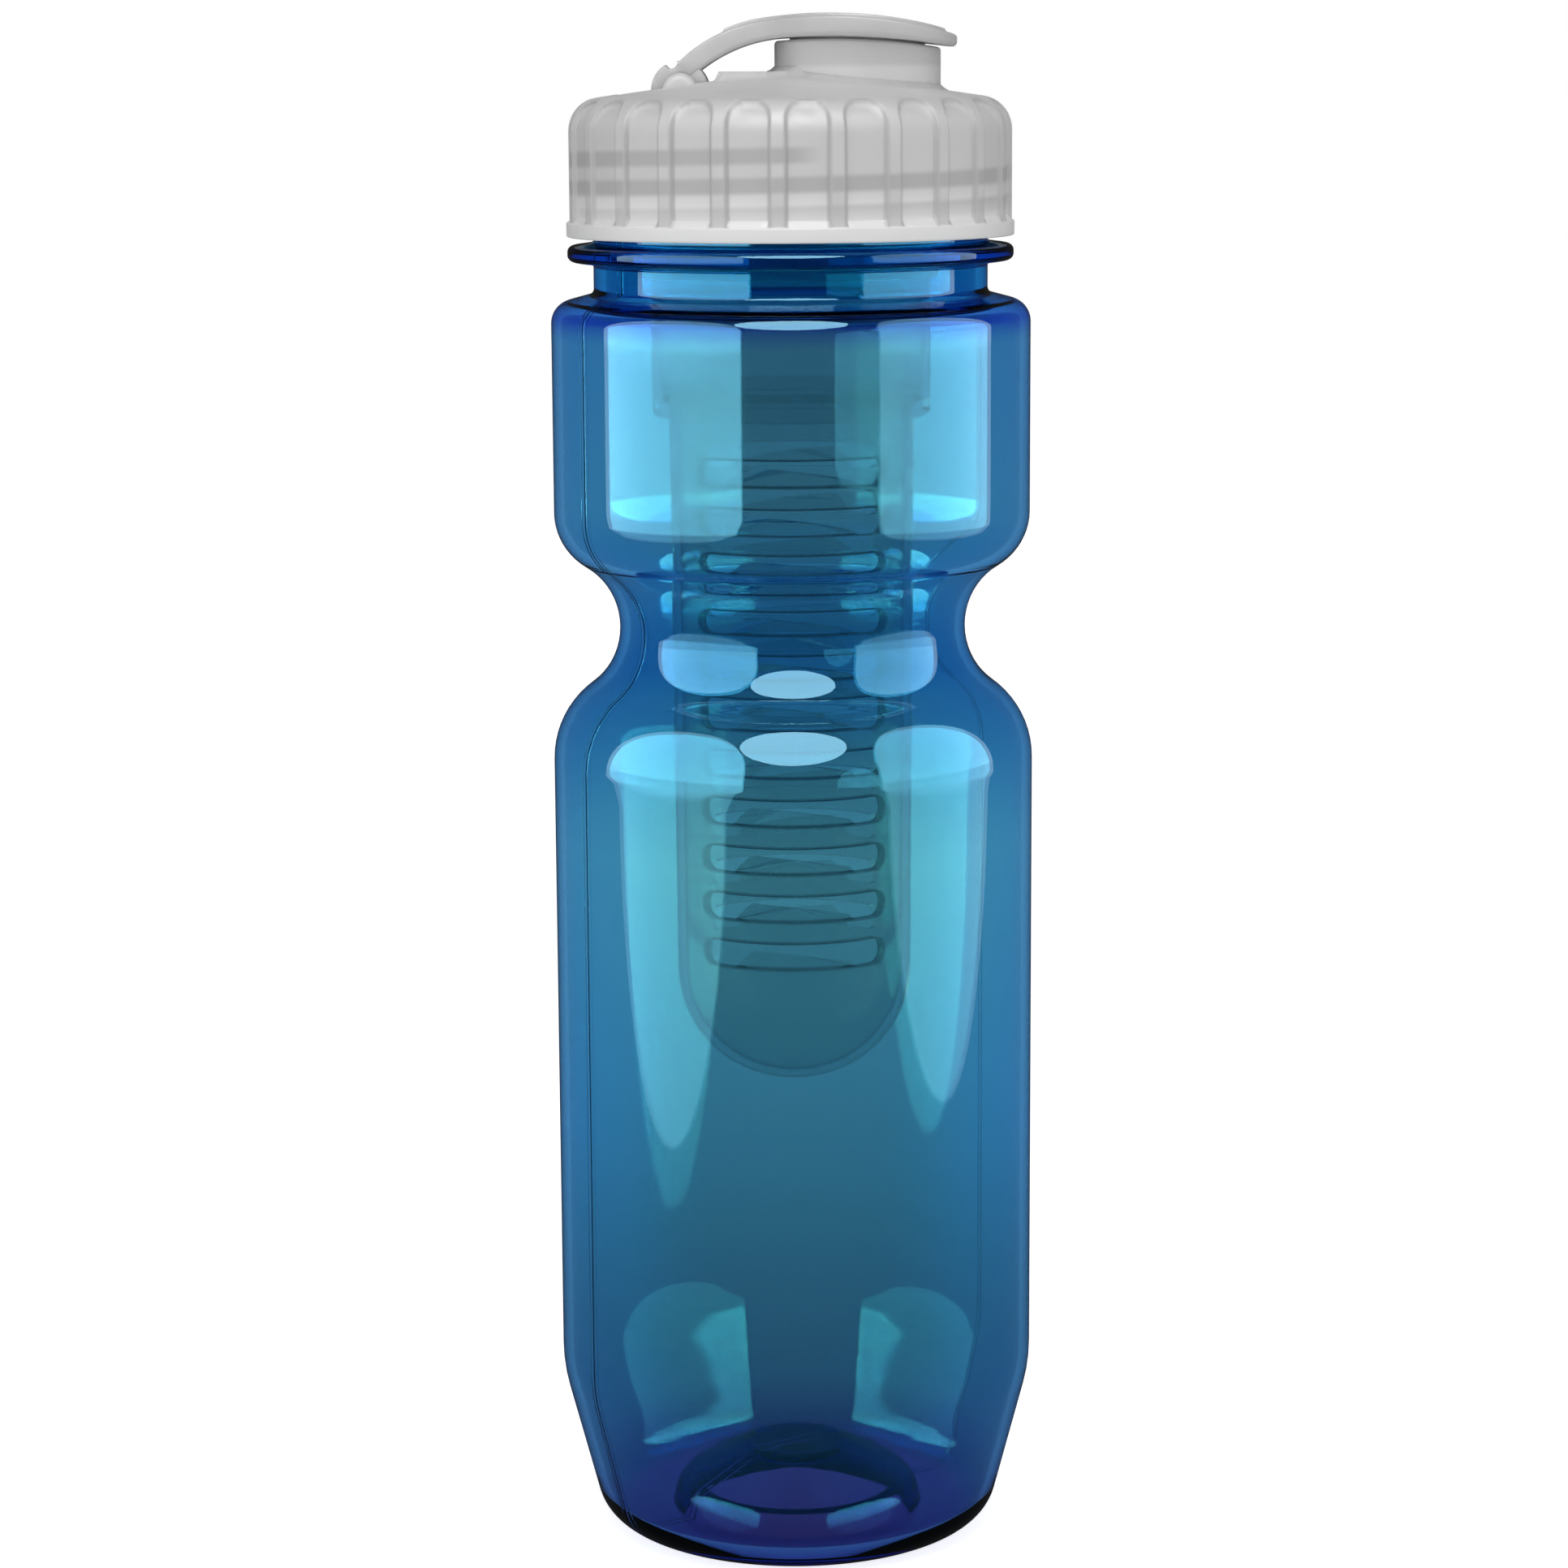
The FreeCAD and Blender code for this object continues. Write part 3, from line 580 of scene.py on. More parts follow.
# Bottle: the same sizes as its solid, in millimetres
bottle = dict(
    radius=36.75, wall=1.5, baseWall=2.4, heelInset=6.59, heelRadius=6.5, heelTaperDeg=14.7, heelBlend=25.0,
    footLand=7.3, recessDraft=1.2, recessHeight=4.4, recessEdge=0.8, recessRound=2.0,
    crownRadius=7.0, crownRise=4.6,
    gripLength=96.3, waistRadius=26.4, waistArc=11.3, lowerArc=13.8, upperArc=9.2,
    upperRadius=36.25, upperLength=28.7, shoulderRadius=3.5, shoulderSlopeDeg=15.0,
    neckRadius=29.75, neckWall=1.8, neckRoot=1.0, ringLift=4.4, ringHeight=3.2, ringReach=3.9,
    ringTip=2.2, ringTipRadius=1.0, finishHeight=17.9, lipRadius=0.5,
    ridgeHeight=1.35, ridgeDrop=6.5, segments=192, rowStep=3.0, threadStep=0.3, slack=0.001, sharpDeg=60,
)
neckThread = dict(pitch=4.2, endDeg=-80.0, root=2.4, crest=1.4, turns=1.9, fadeTurns=0.04)


def bottleCorners():
    b = bottle
    taper = math.radians(b["heelTaperDeg"])
    slope = math.radians(b["shoulderSlopeDeg"])
    heelCorner = b["radius"] - b["heelInset"]
    recess = heelCorner - b["heelRadius"] * math.tan((math.pi / 2 - taper) / 2) - b["footLand"]
    gripZ = b["heelInset"] / math.tan(taper)
    gripEnd = gripZ + b["gripLength"]
    waistCentre = b["waistRadius"] + b["waistArc"]
    lowerTurn = math.acos((waistCentre - b["radius"] + b["lowerArc"]) / (b["waistArc"] + b["lowerArc"]))
    upperTurn = math.acos((waistCentre - b["upperRadius"] + b["upperArc"]) / (b["waistArc"] + b["upperArc"]))
    lowerReach = b["lowerArc"] * math.tan(lowerTurn / 2)
    upperReach = b["upperArc"] * math.tan(upperTurn / 2)
    flank = lowerReach + b["waistArc"] * math.tan((lowerTurn + upperTurn) / 2)
    upperZ = gripEnd + (b["waistArc"] + b["lowerArc"]) * math.sin(lowerTurn)
    upperZ += (b["waistArc"] + b["upperArc"]) * math.sin(upperTurn)
    shoulderZ = upperZ + b["upperLength"] + b["shoulderRadius"] * math.tan((math.pi / 2 - slope) / 2)
    neckZ = shoulderZ + (b["upperRadius"] - b["neckRadius"]) * math.tan(slope)
    ringZ = neckZ + b["ringLift"]
    lipZ = ringZ + b["ringHeight"] + b["finishHeight"]
    waistX = b["radius"] - flank * math.sin(lowerTurn)
    waistZ = gripEnd + lowerReach + flank * math.cos(lowerTurn)
    side = [
        (0, b["recessHeight"] + b["crownRise"], 0),
        (b["crownRadius"], b["recessHeight"] + b["crownRise"], b["recessRound"]),
        (recess - b["recessDraft"], b["recessHeight"], b["recessRound"]),
        (recess, 0, b["recessEdge"]),
        (heelCorner, 0, b["heelRadius"]),
        (b["radius"], gripZ, b["heelBlend"]),
        (b["radius"], gripEnd + lowerReach, b["lowerArc"]),
        (waistX, waistZ, b["waistArc"]),
        (b["upperRadius"], upperZ - upperReach, b["upperArc"]),
        (b["upperRadius"], shoulderZ, b["shoulderRadius"]),
        (b["neckRadius"], neckZ, b["neckRoot"]),
    ]
    return side, ringZ, lipZ


def makeBottle(material):
    b = bottle
    side, ringZ, lipZ = bottleCorners()
    ringTop = ringZ + b["ringHeight"]
    tip = b["neckRadius"] + b["ringReach"]
    step = (b["ringHeight"] - b["ringTip"]) / 2
    ring = [
        (b["neckRadius"], ringZ, b["lipRadius"]),
        (tip, ringZ + step, b["ringTipRadius"]),
        (tip, ringTop - step, b["ringTipRadius"]),
        (b["neckRadius"], ringTop, b["lipRadius"]),
    ]
    lip = (b["neckRadius"], lipZ, b["lipRadius"])
    walls = [b["baseWall"]] * 4 + [b["wall"]] * 6 + [b["neckWall"]]
    inside = wallInside(side + [lip], walls)[::-1]
    outside = roundedPath(side + ring + [lip, inside[0]])
    finishStart = max(i for i, p in enumerate(outside) if p.y < ringTop + b["lipRadius"] + b["slack"])
    lower = fillRuns(outside[:finishStart + 1], lambda p: b["rowStep"])
    finish = fillRuns(outside[finishStart:-1], lambda p: b["threadStep"])[1:]
    inner = fillRuns(roundedPath([lip] + inside)[1:], lambda p: b["rowStep"])
    marks = {"thread": [0.0] * len(lower) + [1.0] * len(finish) + [0.0] * len(inner)}
    tree = latheTree("bottleLathe", thread=dict(neckThread, endZ=lipZ - b["ridgeDrop"]))
    piece = turned("bottleBody", lower + finish + inner, material, b["segments"], tree, marks,
                   **{"Ridge Height": b["ridgeHeight"]})
    finishPiece(piece, "bottle", "bottle_blue", "bottle_body", sharpDeg=b["sharpDeg"])


lipZ = bottleCorners()[2]
makeBottle(bluePlastic())

# Cap: sizes of its solid, in millimetres
cap = dict(
    ringGap=0.9, bore=31.45, rib=33.35, flangeHeight=2.25, flangeReach=0.4, edge=0.3, sealRise=1.5,
    cornerRise=1.5, corner=5.0, slopeDeg=8.4, flat=11.0, flatBlend=14.0, roof=1.8, seatRound=0.9,
    plug=27.0, plugWall=1.2, plugDepth=3.5, skirtBore=21.2, skirtWall=1.2, skirtDrop=5.85, skirtGrip=18.0,
    skirtStop=1.0, skirtEdge=0.2, skirtStep=2.0, skirtSegments=144, ridgeHeight=1.35, threadDrop=4.4,
    threadSlack=0.1, outsideFrom=1.0, domeDrop=1.0, domeRadius=29.0,  # which rows carry which mark
    stepDeg=10, threadStep=0.75, innerStep=2.4, domeStep=0.75, sideStep=0.85,
)
capThread = dict(neckThread, root=2.2, crest=1.2, turns=2.25, endZ=lipZ - cap["threadDrop"])
threadShade = dict(capThread, root=3.2, crest=1.3, fadeTurns=0.03)
capZ = lipZ - bottle["finishHeight"] + cap["ringGap"]
seatZ = lipZ + cap["sealRise"]
cornerZ = seatZ + cap["cornerRise"]
panels = dict(
    count=24, depth=0.7, width=6.3, topRadius=2.4, topZ=cornerZ, middleDeg=-85.7, soft=0.5, columns=20,
    edgeShade=0.75,
    bands=((0, 0.3, 0.63), (0.3, 0.8, 0.2), (0.8, 1, 0.17)),  # share of the columns, share of the half pitch
)


def domeHeight(radius):
    return cornerZ + (cap["rib"] - max(radius, cap["flat"])) * math.tan(math.radians(cap["slopeDeg"]))


domeZ = domeHeight(0)
deck = dict(startX=-10.6, rise=1.05, halfWidth=8.5, slope=1.1, steep=6.0, soft=0.5)
spout = dict(
    x=10.2, radius=12.45, wall=1.7, height=5.75, foot=1.3, footShare=0.7, rim=0.55, rimArc=117.65, crownX=5.2,
    step=0.8, segments=144,
)
hinge = dict(
    x=-16.3, z=domeHeight(16.3) - 0.85, pin=0.95, earGap=6.55, earWidth=2.8, ear=2.55, earRound=1.1,
    earEdge=0.15, earSteps=32, roundSteps=6, barrelSteps=90, notchSteps=12, edgeSteps=4, pocketSteps=28,
    knuckle=4.3, knuckleHalf=6.12, knuckleEdge=0.4, notch=0.95, notchDeg=108.0,
    pocket=4.65, pocketFront=5.7, frontDepth=1.5, restLength=9.7, restDepth=3.4, wall=1.4,
)


def domeRelief(tree, x, y, height):  # the deck and the spout's foot, lifted out of the plain dome
    top = domeZ + deck["rise"]
    beside = calc(tree, "MAXIMUM", minus(tree, calc(tree, "ABSOLUTE", y), deck["halfWidth"]), 0)
    middle = (deck["startX"] + spout["x"]) / 2
    along = calc(tree, "ABSOLUTE", minus(tree, x, middle))
    beyond = calc(tree, "MAXIMUM", minus(tree, along, spout["x"] - middle), 0)
    fall = plus(tree, times(tree, beside, deck["slope"]), times(tree, beyond, deck["steep"]))
    lifted = calc(tree, "SMOOTH_MAX", height, minus(tree, top, fall), deck["soft"])
    away = minus(tree, hypot(tree, minus(tree, x, spout["x"]), y), spout["radius"])
    near = calc(tree, "MAXIMUM", minus(tree, 1, calc(tree, "DIVIDE", away, spout["foot"])), 0)
    near = calc(tree, "MINIMUM", near, 1)
    foot = times(tree, calc(tree, "POWER", near, 2), spout["footShare"] * spout["foot"])
    return plus(tree, lifted, foot)


def capShell(material):
    c = cap
    plugBore = c["plug"] - c["plugWall"]
    flange, flangeZ = c["rib"] + c["flangeReach"], capZ + c["flangeHeight"]
    path = roundedPath([
        (0, domeZ - c["roof"], 0),
        (c["flat"], domeZ - c["roof"], 0),
        (plugBore, domeHeight(plugBore) - c["roof"], 0),
        (plugBore, seatZ - c["plugDepth"], c["edge"]),
        (c["plug"], seatZ - c["plugDepth"], c["edge"]),
        (c["plug"], seatZ, 0),
        (c["bore"], seatZ, c["seatRound"]),
        (c["bore"], capZ, c["edge"]),
        (flange, capZ, c["edge"]),
        (flange, flangeZ, c["edge"]),
        (c["rib"], flangeZ, c["edge"] / 3),
        (c["rib"], cornerZ, c["corner"]),
        (c["flat"], domeZ, c["flatBlend"]),
        (0, domeZ, 0),
    ], stepDeg=c["stepDeg"])
    outer = next(i for i, p in enumerate(path) if p.x > c["bore"] + c["outsideFrom"])
    threadX = c["bore"] - c["threadSlack"]
    inner = fillRuns(path[:outer], lambda p: c["threadStep"] if p.x > threadX else c["innerStep"])
    outside = fillRuns(path[outer - 1:], lambda p: c["domeStep"] if p.y > cornerZ else c["sideStep"])[1:]
    rows = inner + outside
    lean = leans(rows)
    late = [i >= len(inner) for i in range(len(rows))]
    marks = {
        "thread": [float(p.x > threadX and not out) for p, out in zip(rows, late)],
        "panel": [float(out and p.y > flangeZ + c["edge"] / 2) for p, out in zip(rows, late)],
        "dome": [float(out and p.y > cornerZ - c["domeDrop"] and p.x < c["domeRadius"])
                 for p, out in zip(rows, late)],
        "leanX": [way.x for way in lean],
        "leanZ": [way.y for way in lean],
    }
    tree = latheTree("capLathe", capThread, panels, domeRelief)
    return turned("capShell", rows, material, panels["count"] * panels["columns"], tree, marks,
                  **{"Ridge Height": -c["ridgeHeight"], "Panel Depth": panels["depth"]})


def hingeWell():  # block under the roof that the knuckle's pocket is cut into
    h = hinge
    left, right = h["x"] - h["pocket"] - 2 * h["wall"], h["x"] + h["pocketFront"] + h["wall"]
    low, half = h["z"] - h["pocket"] - h["wall"], h["earGap"] + h["wall"]
    top = [(x, -half, domeHeight(abs(x)) - cap["roof"] / 2) for x in (right, -cap["flat"], left)]
    return prism("well", [(left, -half, low), (right, -half, low)] + top, (0, 2 * half, 0))


def pocketTool():  # room for the knuckle, the lid's arm in front of it and the opened lid behind it
    h = hinge
    above = domeZ + overrun
    front = math.asin(-h["frontDepth"] / h["pocket"])
    rest = h["x"] - h["restLength"]
    foot = Vector((h["x"], h["z"] - h["restDepth"]))
    way = (Vector((rest, domeHeight(abs(rest)))) - foot).normalized()
    offset = foot - Vector((h["x"], h["z"]))
    leave = -offset.dot(way) + math.sqrt(offset.dot(way) ** 2 - offset.length_squared + h["pocket"] ** 2)
    spot = offset + way * leave
    last = math.atan2(spot.y, spot.x) - fullTurn * (spot.y > 0)
    arc = [front + a for a in shares(last - front, h["pocketSteps"])]
    outline = [(h["x"] + h["pocketFront"], above), (h["x"] + h["pocketFront"], h["z"] - h["frontDepth"])]
    outline += [(h["x"] + h["pocket"] * math.cos(a), h["z"] + h["pocket"] * math.sin(a)) for a in arc]
    outline += [(rest, domeHeight(abs(rest))), (rest, above)]
    return prism("pocketTool", [(x, -h["earGap"], z) for x, z in outline], (0, 2 * h["earGap"], 0))


def boreTool():
    radius = spout["radius"] - spout["wall"] / 2  # the spout's own shell lines the bore
    turns = shares(fullTurn, spout["segments"])[:-1]
    circle = [(spout["x"] + radius * math.cos(t), radius * math.sin(t), seatZ) for t in turns]
    return prism("boreTool", circle, (0, 0, overrun))


def rimHeight(x):
    arc = spout["rimArc"]
    return domeZ + spout["height"] - arc + math.sqrt(arc ** 2 - (x - spout["crownX"]) ** 2)


def spoutTube(material):
    s = spout
    bore, top = s["radius"] - s["wall"], rimHeight(s["crownX"])
    footZ = domeHeight(s["x"] + s["radius"]) - cap["roof"] / 2
    path = roundedLoop([
        (bore, footZ, 0), (s["radius"], footZ, 0), (s["radius"], top, s["rim"]), (bore, top, s["rim"])])
    tube = turned("spoutTube", fillRuns(path, lambda p: s["step"]), material, s["segments"])
    for vertex in tube.data.vertices:  # moved to the spout's place, with its rim bent to the lid
        vertex.co.x += s["x"] * mm
        share = (vertex.co.z / mm - footZ) / (top - footZ)
        vertex.co.z = (footZ + share * (rimHeight(vertex.co.x / mm) - footZ)) * mm
    return tube


def hingeEar(side, pierced):  # rounded ear; the pin shows through a pierced one
    h = hinge
    footZ = domeHeight(abs(h["x"]) + h["ear"]) - cap["roof"] / 2
    end = h["earGap"] + h["earWidth"]
    turns = shares(math.pi, h["earSteps"])

    def ring(depth, inset):
        radius = h["ear"] - inset
        points = [(h["x"] + radius, side * depth, footZ)]
        arc = [(radius * math.cos(t), radius * math.sin(t)) for t in turns]
        points += [(h["x"] + x, side * depth, h["z"] + z) for x, z in arc]
        return points + [(h["x"] - radius, side * depth, footZ)]

    def hole(depth):
        shape = ring(depth, 0)
        spots = [Vector((x - h["x"], z - h["z"])).normalized() * h["pin"] for x, y, z in shape]
        return [(h["x"] + spot.x, side * depth, h["z"] + spot.y) for spot in spots]

    rings = [ring(h["earGap"], h["earEdge"]), ring(h["earGap"] + h["earEdge"], 0)]
    for turn in shares(math.pi / 2, h["roundSteps"]):
        rings.append(ring(end - h["earRound"] * (1 - math.sin(turn)), h["earRound"] * (1 - math.cos(turn))))
    if pierced:
        rings = [hole(h["earGap"])] + rings + [hole(end)]
    return newPiece("ear", skin("ear", rings, loop=pierced))


def skirtTube(material):
    c = cap
    outer, low = c["skirtBore"] + c["skirtWall"], capZ - c["skirtDrop"]
    stopZ = low + c["skirtGrip"]
    top, stop = domeHeight(outer) - c["roof"] / 2, c["skirtBore"] - c["skirtStop"]
    path = roundedLoop([
        (c["skirtBore"], low, c["skirtEdge"]), (outer, low, c["edge"]), (outer, top, 0), (stop, top, 0),
        (stop, stopZ, c["skirtEdge"]), (c["skirtBore"], stopZ, 0)])
    return turned("skirtTube", fillRuns(path, lambda p: c["skirtStep"]), material, c["skirtSegments"])


def makeCap(material):
    shell, skirt = capShell(material), skirtTube(material)
    carve(shell, hingeWell(), "UNION")
    carve(shell, pocketTool(), "DIFFERENCE")
    carve(skirt, pocketTool(), "DIFFERENCE")
    carve(shell, boreTool(), "DIFFERENCE")
    parts = [shell, spoutTube(material), hingeEar(-1, False), hingeEar(1, True), skirt]
    finishPiece(joinPieces("screwCap", parts, material), "cap", "cap_frosted", "screw_cap")


# tones of painted light and shade on the cap: thin for the panels, clear for the lighter lower part, spout
# for the spout's painted shade, and the darkest for the thread's shadow and the panels' edges
capLightAndShade = dict(
    thin=grey(0.64), clear=grey(0.84), lowLightZ=(capZ + 9, capZ + 4), panelSoft=1.3, panelRadius=(26, 29),
    paintedShade=grey(0.44), threadShadowShare=0.85, threadShadowRadius=(30.0, 31.5),
    threadShadowZ=(threadShade["endZ"] - 11, threadShade["endZ"] - 5),
    flangeZ=capZ + cap["flangeHeight"], flangeSoft=0.2, spout=grey(0.54), spoutShadeZ=(domeZ + 1.3, domeZ + 2.3))
makeCap(frostedPlastic("capFrosted", grey(0.66), capLightAndShade))

# Lid: the plan has a round head and a straight arm, and both faces are arched along x only
lid = dict(
    head=14.9, arm=6.2, neck=9.0, underZ=domeZ + 6.1, thickness=3.4, crownX=5.2, topArc=72.0, topBendDeg=7.3,
    underArc=118.0, underBendDeg=2.7, armThickness=3.1, armDeg=40.0, lowEdge=0.9, topEdge=0.4,
    panelRise=0.45, panelMargin=1.7, panelSoft=0.3, panelStart=6.6, seat=1.3, seatRadius=10.15, stud=2.6,
    seatEdge=0.3, seatSink=0.4, armSteps=8, neckSteps=12, headSteps=55, lowSteps=6, topSteps=5, flatSteps=7,
    riseSteps=6,
)


def archRule(arc, crownZ, bendDeg, start):  # height over x: a tight arc from the start into a long one
    bend = math.radians(bendDeg)
    middle = Vector((lid["crownX"], crownZ - arc))
    inward = Vector((math.sin(bend), -math.cos(bend)))
    join = middle - inward * arc
    chord = join - start
    rise = -chord.length_squared / (2 * inward.dot(chord))
    centre = join + inward * rise

    def height(x):
        if x >= join.x:
            return middle.y + math.sqrt(arc ** 2 - (x - middle.x) ** 2)
        return centre.y + math.sqrt(rise ** 2 - (x - centre.x) ** 2)
    return height


def lidPlan(startX, margin):  # one side from the arm's start to the tip, then the other side back
    head, arm, neck = lid["head"] - margin, lid["arm"] - margin, lid["neck"] + margin
    centre = Vector((spout["x"] - math.sqrt((head + neck) ** 2 - (arm + neck) ** 2), arm + neck))
    turn = math.atan2(centre.y, centre.x - spout["x"])
    half = [(startX + along, arm) for along in shares(centre.x - startX, lid["armSteps"])[:-1]]
    for bend in shares(turn - math.pi / 2, lid["neckSteps"]):
        a = bend - math.pi / 2
        half.append((centre.x + neck * math.cos(a), centre.y + neck * math.sin(a)))
    for i in range(1, lid["headSteps"] + 1):
        a = turn * (1 - i / (lid["headSteps"] + 0.5))  # half a step short of the tip
        half.append((spout["x"] + head * math.cos(a), head * math.sin(a)))
    return half + [(x, -y) for x, y in half[::-1]]


def lidBody():
    d, h = lid, hinge
    start = Vector((h["x"], h["z"] + h["knuckle"]))
    across = math.radians(d["armDeg"])
    underStart = start + Vector((math.cos(across), -math.sin(across))) * d["armThickness"]
    crown = d["underZ"] + d["thickness"]
    under = archRule(d["underArc"], d["underZ"], d["underBendDeg"], underStart)
    top = archRule(d["topArc"], crown - d["panelRise"], d["topBendDeg"], start)
    panel = archRule(d["topArc"], crown, d["topBendDeg"], start)
    stack = []
    for turn in shares(math.pi / 2, d["lowSteps"]):
        lift = d["lowEdge"] * (1 - math.cos(turn))
        stack.append((h["x"], d["lowEdge"] * (1 - math.sin(turn)), lambda x, lift=lift: under(x) + lift))
    for turn in shares(math.pi / 2, d["topSteps"]):
        drop = d["topEdge"] * (1 - math.sin(turn))
        stack.append((h["x"], d["topEdge"] * (1 - math.cos(turn)), lambda x, drop=drop: top(x) - drop))
    edge, begin = d["panelMargin"] - d["panelSoft"] / 2, h["x"] + d["panelStart"] - d["panelSoft"]
    for share in shares(1, d["flatSteps"])[1:]:
        stack.append((h["x"] + (begin - h["x"]) * share, d["topEdge"] + (edge - d["topEdge"]) * share, top))
    for share in shares(1, d["riseSteps"])[1:]:
        step = share * share * (3 - 2 * share)
        stack.append((begin + d["panelSoft"] * share, edge + d["panelSoft"] * share,
                      lambda x, step=step: top(x) + (panel(x) - top(x)) * step))
    rings = [[(x, y, rule(x)) for x, y in lidPlan(startX, margin)] for startX, margin, rule in stack]
    count = len(rings[0])
    points = [Vector(point) * mm for ring in rings for point in ring]
    faces = bandFaces(count, len(rings))
    for base in (0, (len(rings) - 1) * count):  # rungs across, since both faces are straight in y
        for j in range(count // 2 - 1):
            faces.append((base + j, base + j + 1, base + count - 2 - j, base + count - 1 - j))
    return newPiece("lidBody", meshFrom("lidBody", points, faces))


def lidKnuckle():  # barrel with a groove across it, around the pin's hole
    h = hinge
    radius, notch = h["knuckle"], math.radians(h["notchDeg"])
    half = 2 * math.asin(h["notch"] / (2 * radius))
    barrel = [notch + half + a for a in shares(fullTurn - 2 * half, h["barrelSteps"])]
    outline = [Vector((math.cos(a), math.sin(a))) * radius for a in barrel]
    centre = Vector((math.cos(notch), math.sin(notch))) * radius
    first = math.atan2(*(outline[-1] - centre).yx)
    sweep = math.remainder(math.atan2(*(outline[0] - centre).yx) - first, fullTurn)
    sweep -= math.copysign(fullTurn, sweep) * (abs(sweep) > math.pi)
    inward = notch + math.pi
    if abs(math.remainder(first + sweep / 2 - inward, fullTurn)) > 1:
        sweep -= math.copysign(fullTurn, sweep)
    for turn in shares(sweep, h["notchSteps"])[1:-1]:
        a = first + turn
        outline.append(centre + Vector((math.cos(a), math.sin(a))) * h["notch"])

    def ring(depth, inset):
        share = 1 - inset / radius
        return [(h["x"] + p.x * share, depth, h["z"] + p.y * share) for p in outline]

    def hole(depth):
        spots = [p.normalized() * h["pin"] for p in outline]
        return [(h["x"] + spot.x, depth, h["z"] + spot.y) for spot in spots]

    rings = [hole(-h["knuckleHalf"])]
    for side in (-1, 1):
        turns = shares(math.pi / 2, h["edgeSteps"])
        for t in (turns if side < 0 else turns[::-1]):
            depth = h["knuckleHalf"] - h["knuckleEdge"] * (1 - math.cos(t))
            rings.append(ring(side * depth, h["knuckleEdge"] * (1 - math.sin(t))))
    rings.append(hole(h["knuckleHalf"]))
    return newPiece("lidKnuckle", skin("lidKnuckle", rings, loop=True))


stopper = dict(
    depth=2.8, taper=1.0, edge=0.5, hollow=1.3, hollowEdge=0.3, wall=2.2, play=0.1, step=0.8, segments=128)
seal = dict(reach=0.6, edge=0.3, segments=144)


def moveToSpout(piece):
    piece.data.transform(Matrix.Translation((spout["x"] * mm, 0, 0)))
    return piece


def lidSeat(material):  # boss and stud under the head, that carry the stopper
    low = lid["underZ"] - lid["seat"]
    tip = low - stopper["depth"] + stopper["hollow"]
    top = lid["underZ"] + lid["seatSink"]
    path = roundedPath([
        (0, tip, 0), (lid["stud"], tip, lid["seatEdge"]), (lid["stud"], low, 0),
        (lid["seatRadius"], low, lid["seatEdge"]), (lid["seatRadius"], top, 0), (0, top, 0)])
    return moveToSpout(turned("lidSeat", path, material, stopper["segments"]))


def makeLid(material):
    parts = [lidBody(), lidKnuckle(), lidSeat(material)]
    finishPiece(joinPieces("flipLid", parts, material), "lid", "lid_frosted", "flip_lid")


def makeStopper(material):
    s = stopper
    top = lid["underZ"] - lid["seat"]
    low, outer, hole = top - s["depth"], lid["seatRadius"] - s["taper"], lid["stud"] + s["play"]
    path = roundedLoop([
        (hole, top, 0), (hole, low + s["hollow"], 0), (outer - s["wall"], low + s["hollow"], s["hollowEdge"]),
        (outer - s["wall"], low, s["edge"]), (outer, low, s["edge"]), (lid["seatRadius"], top, 0)])
    piece = moveToSpout(turned("spoutStopper", fillRuns(path, lambda p: s["step"]), material, s["segments"]))
    finishPiece(piece, "lid", "stopper_soft", "spout_stopper")


def makeSeal(material):
    inner = bottle["neckRadius"] - bottle["neckWall"] - seal["reach"]
    outer, edge = bottle["neckRadius"] + seal["reach"], seal["edge"]
    path = roundedLoop([(inner, lipZ, edge), (outer, lipZ, edge), (outer, seatZ, edge), (inner, seatZ, edge)])
    finishPiece(turned("capSeal", path, material, seal["segments"]), "seal", "seal_silicone", "cap_seal")


# the lid is the cap's plastic in a darker tone: painted shade
makeLid(frostedPlastic("lidFrosted", grey(0.57)))
makeStopper(softRubber("stopperSoft", (0.74, 0.74, 0.73, 1)))
makeSeal(softRubber("sealSilicone", (0.8, 0.8, 0.78, 1)))

# Infuser: the collar is pushed into the cap's skirt and the basket hangs in the collar
infuser = dict(
    collar=21.1, collarWall=1.15, collarDrop=20.9, edge=0.4, ledge=2.2, ledgeWidth=1.05,
    rimEdge=0.3, lipEdge=0.2, collarStep=2.0, basketStep=2.5, stepDeg=5, segments=160,
    basket=18.55, lip=19.6, lipHeight=2.2, taper=0.65, wall=1.3, depth=105.2, roundShare=0.97,
    plainLevel=0.03, plainLean=0.95,  # faces that keep the shading of the uncut wall
)
slots = dict(
    count=11, pitch=7.3, height=3.9, halfDeg=49.0, firstDrop=9.9, inner=12.0, outer=22.0, line=0.35,
    level=(0.3, 0.6), fade=0.5, endSteps=12, sideSteps=16)
collarZ = capZ - cap["skirtDrop"] - infuser["collarDrop"]
hangZ = collarZ + infuser["ledge"]


def makeCollar(material):
    n = infuser
    bore, top = n["collar"] - n["collarWall"], capZ - cap["skirtDrop"] + cap["skirtGrip"]
    ledge = bore - n["ledgeWidth"]
    path = roundedLoop([
        (bore, hangZ, 0), (ledge, hangZ, n["rimEdge"]), (ledge, collarZ, n["edge"]),
        (n["collar"], collarZ, n["edge"]), (n["collar"], top, n["edge"]), (bore, top, n["rimEdge"])])
    piece = turned("infuserCollar", fillRuns(path, lambda p: n["collarStep"]), material, n["segments"])
    finishPiece(piece, "collar", "collar_clear", "infuser_collar")


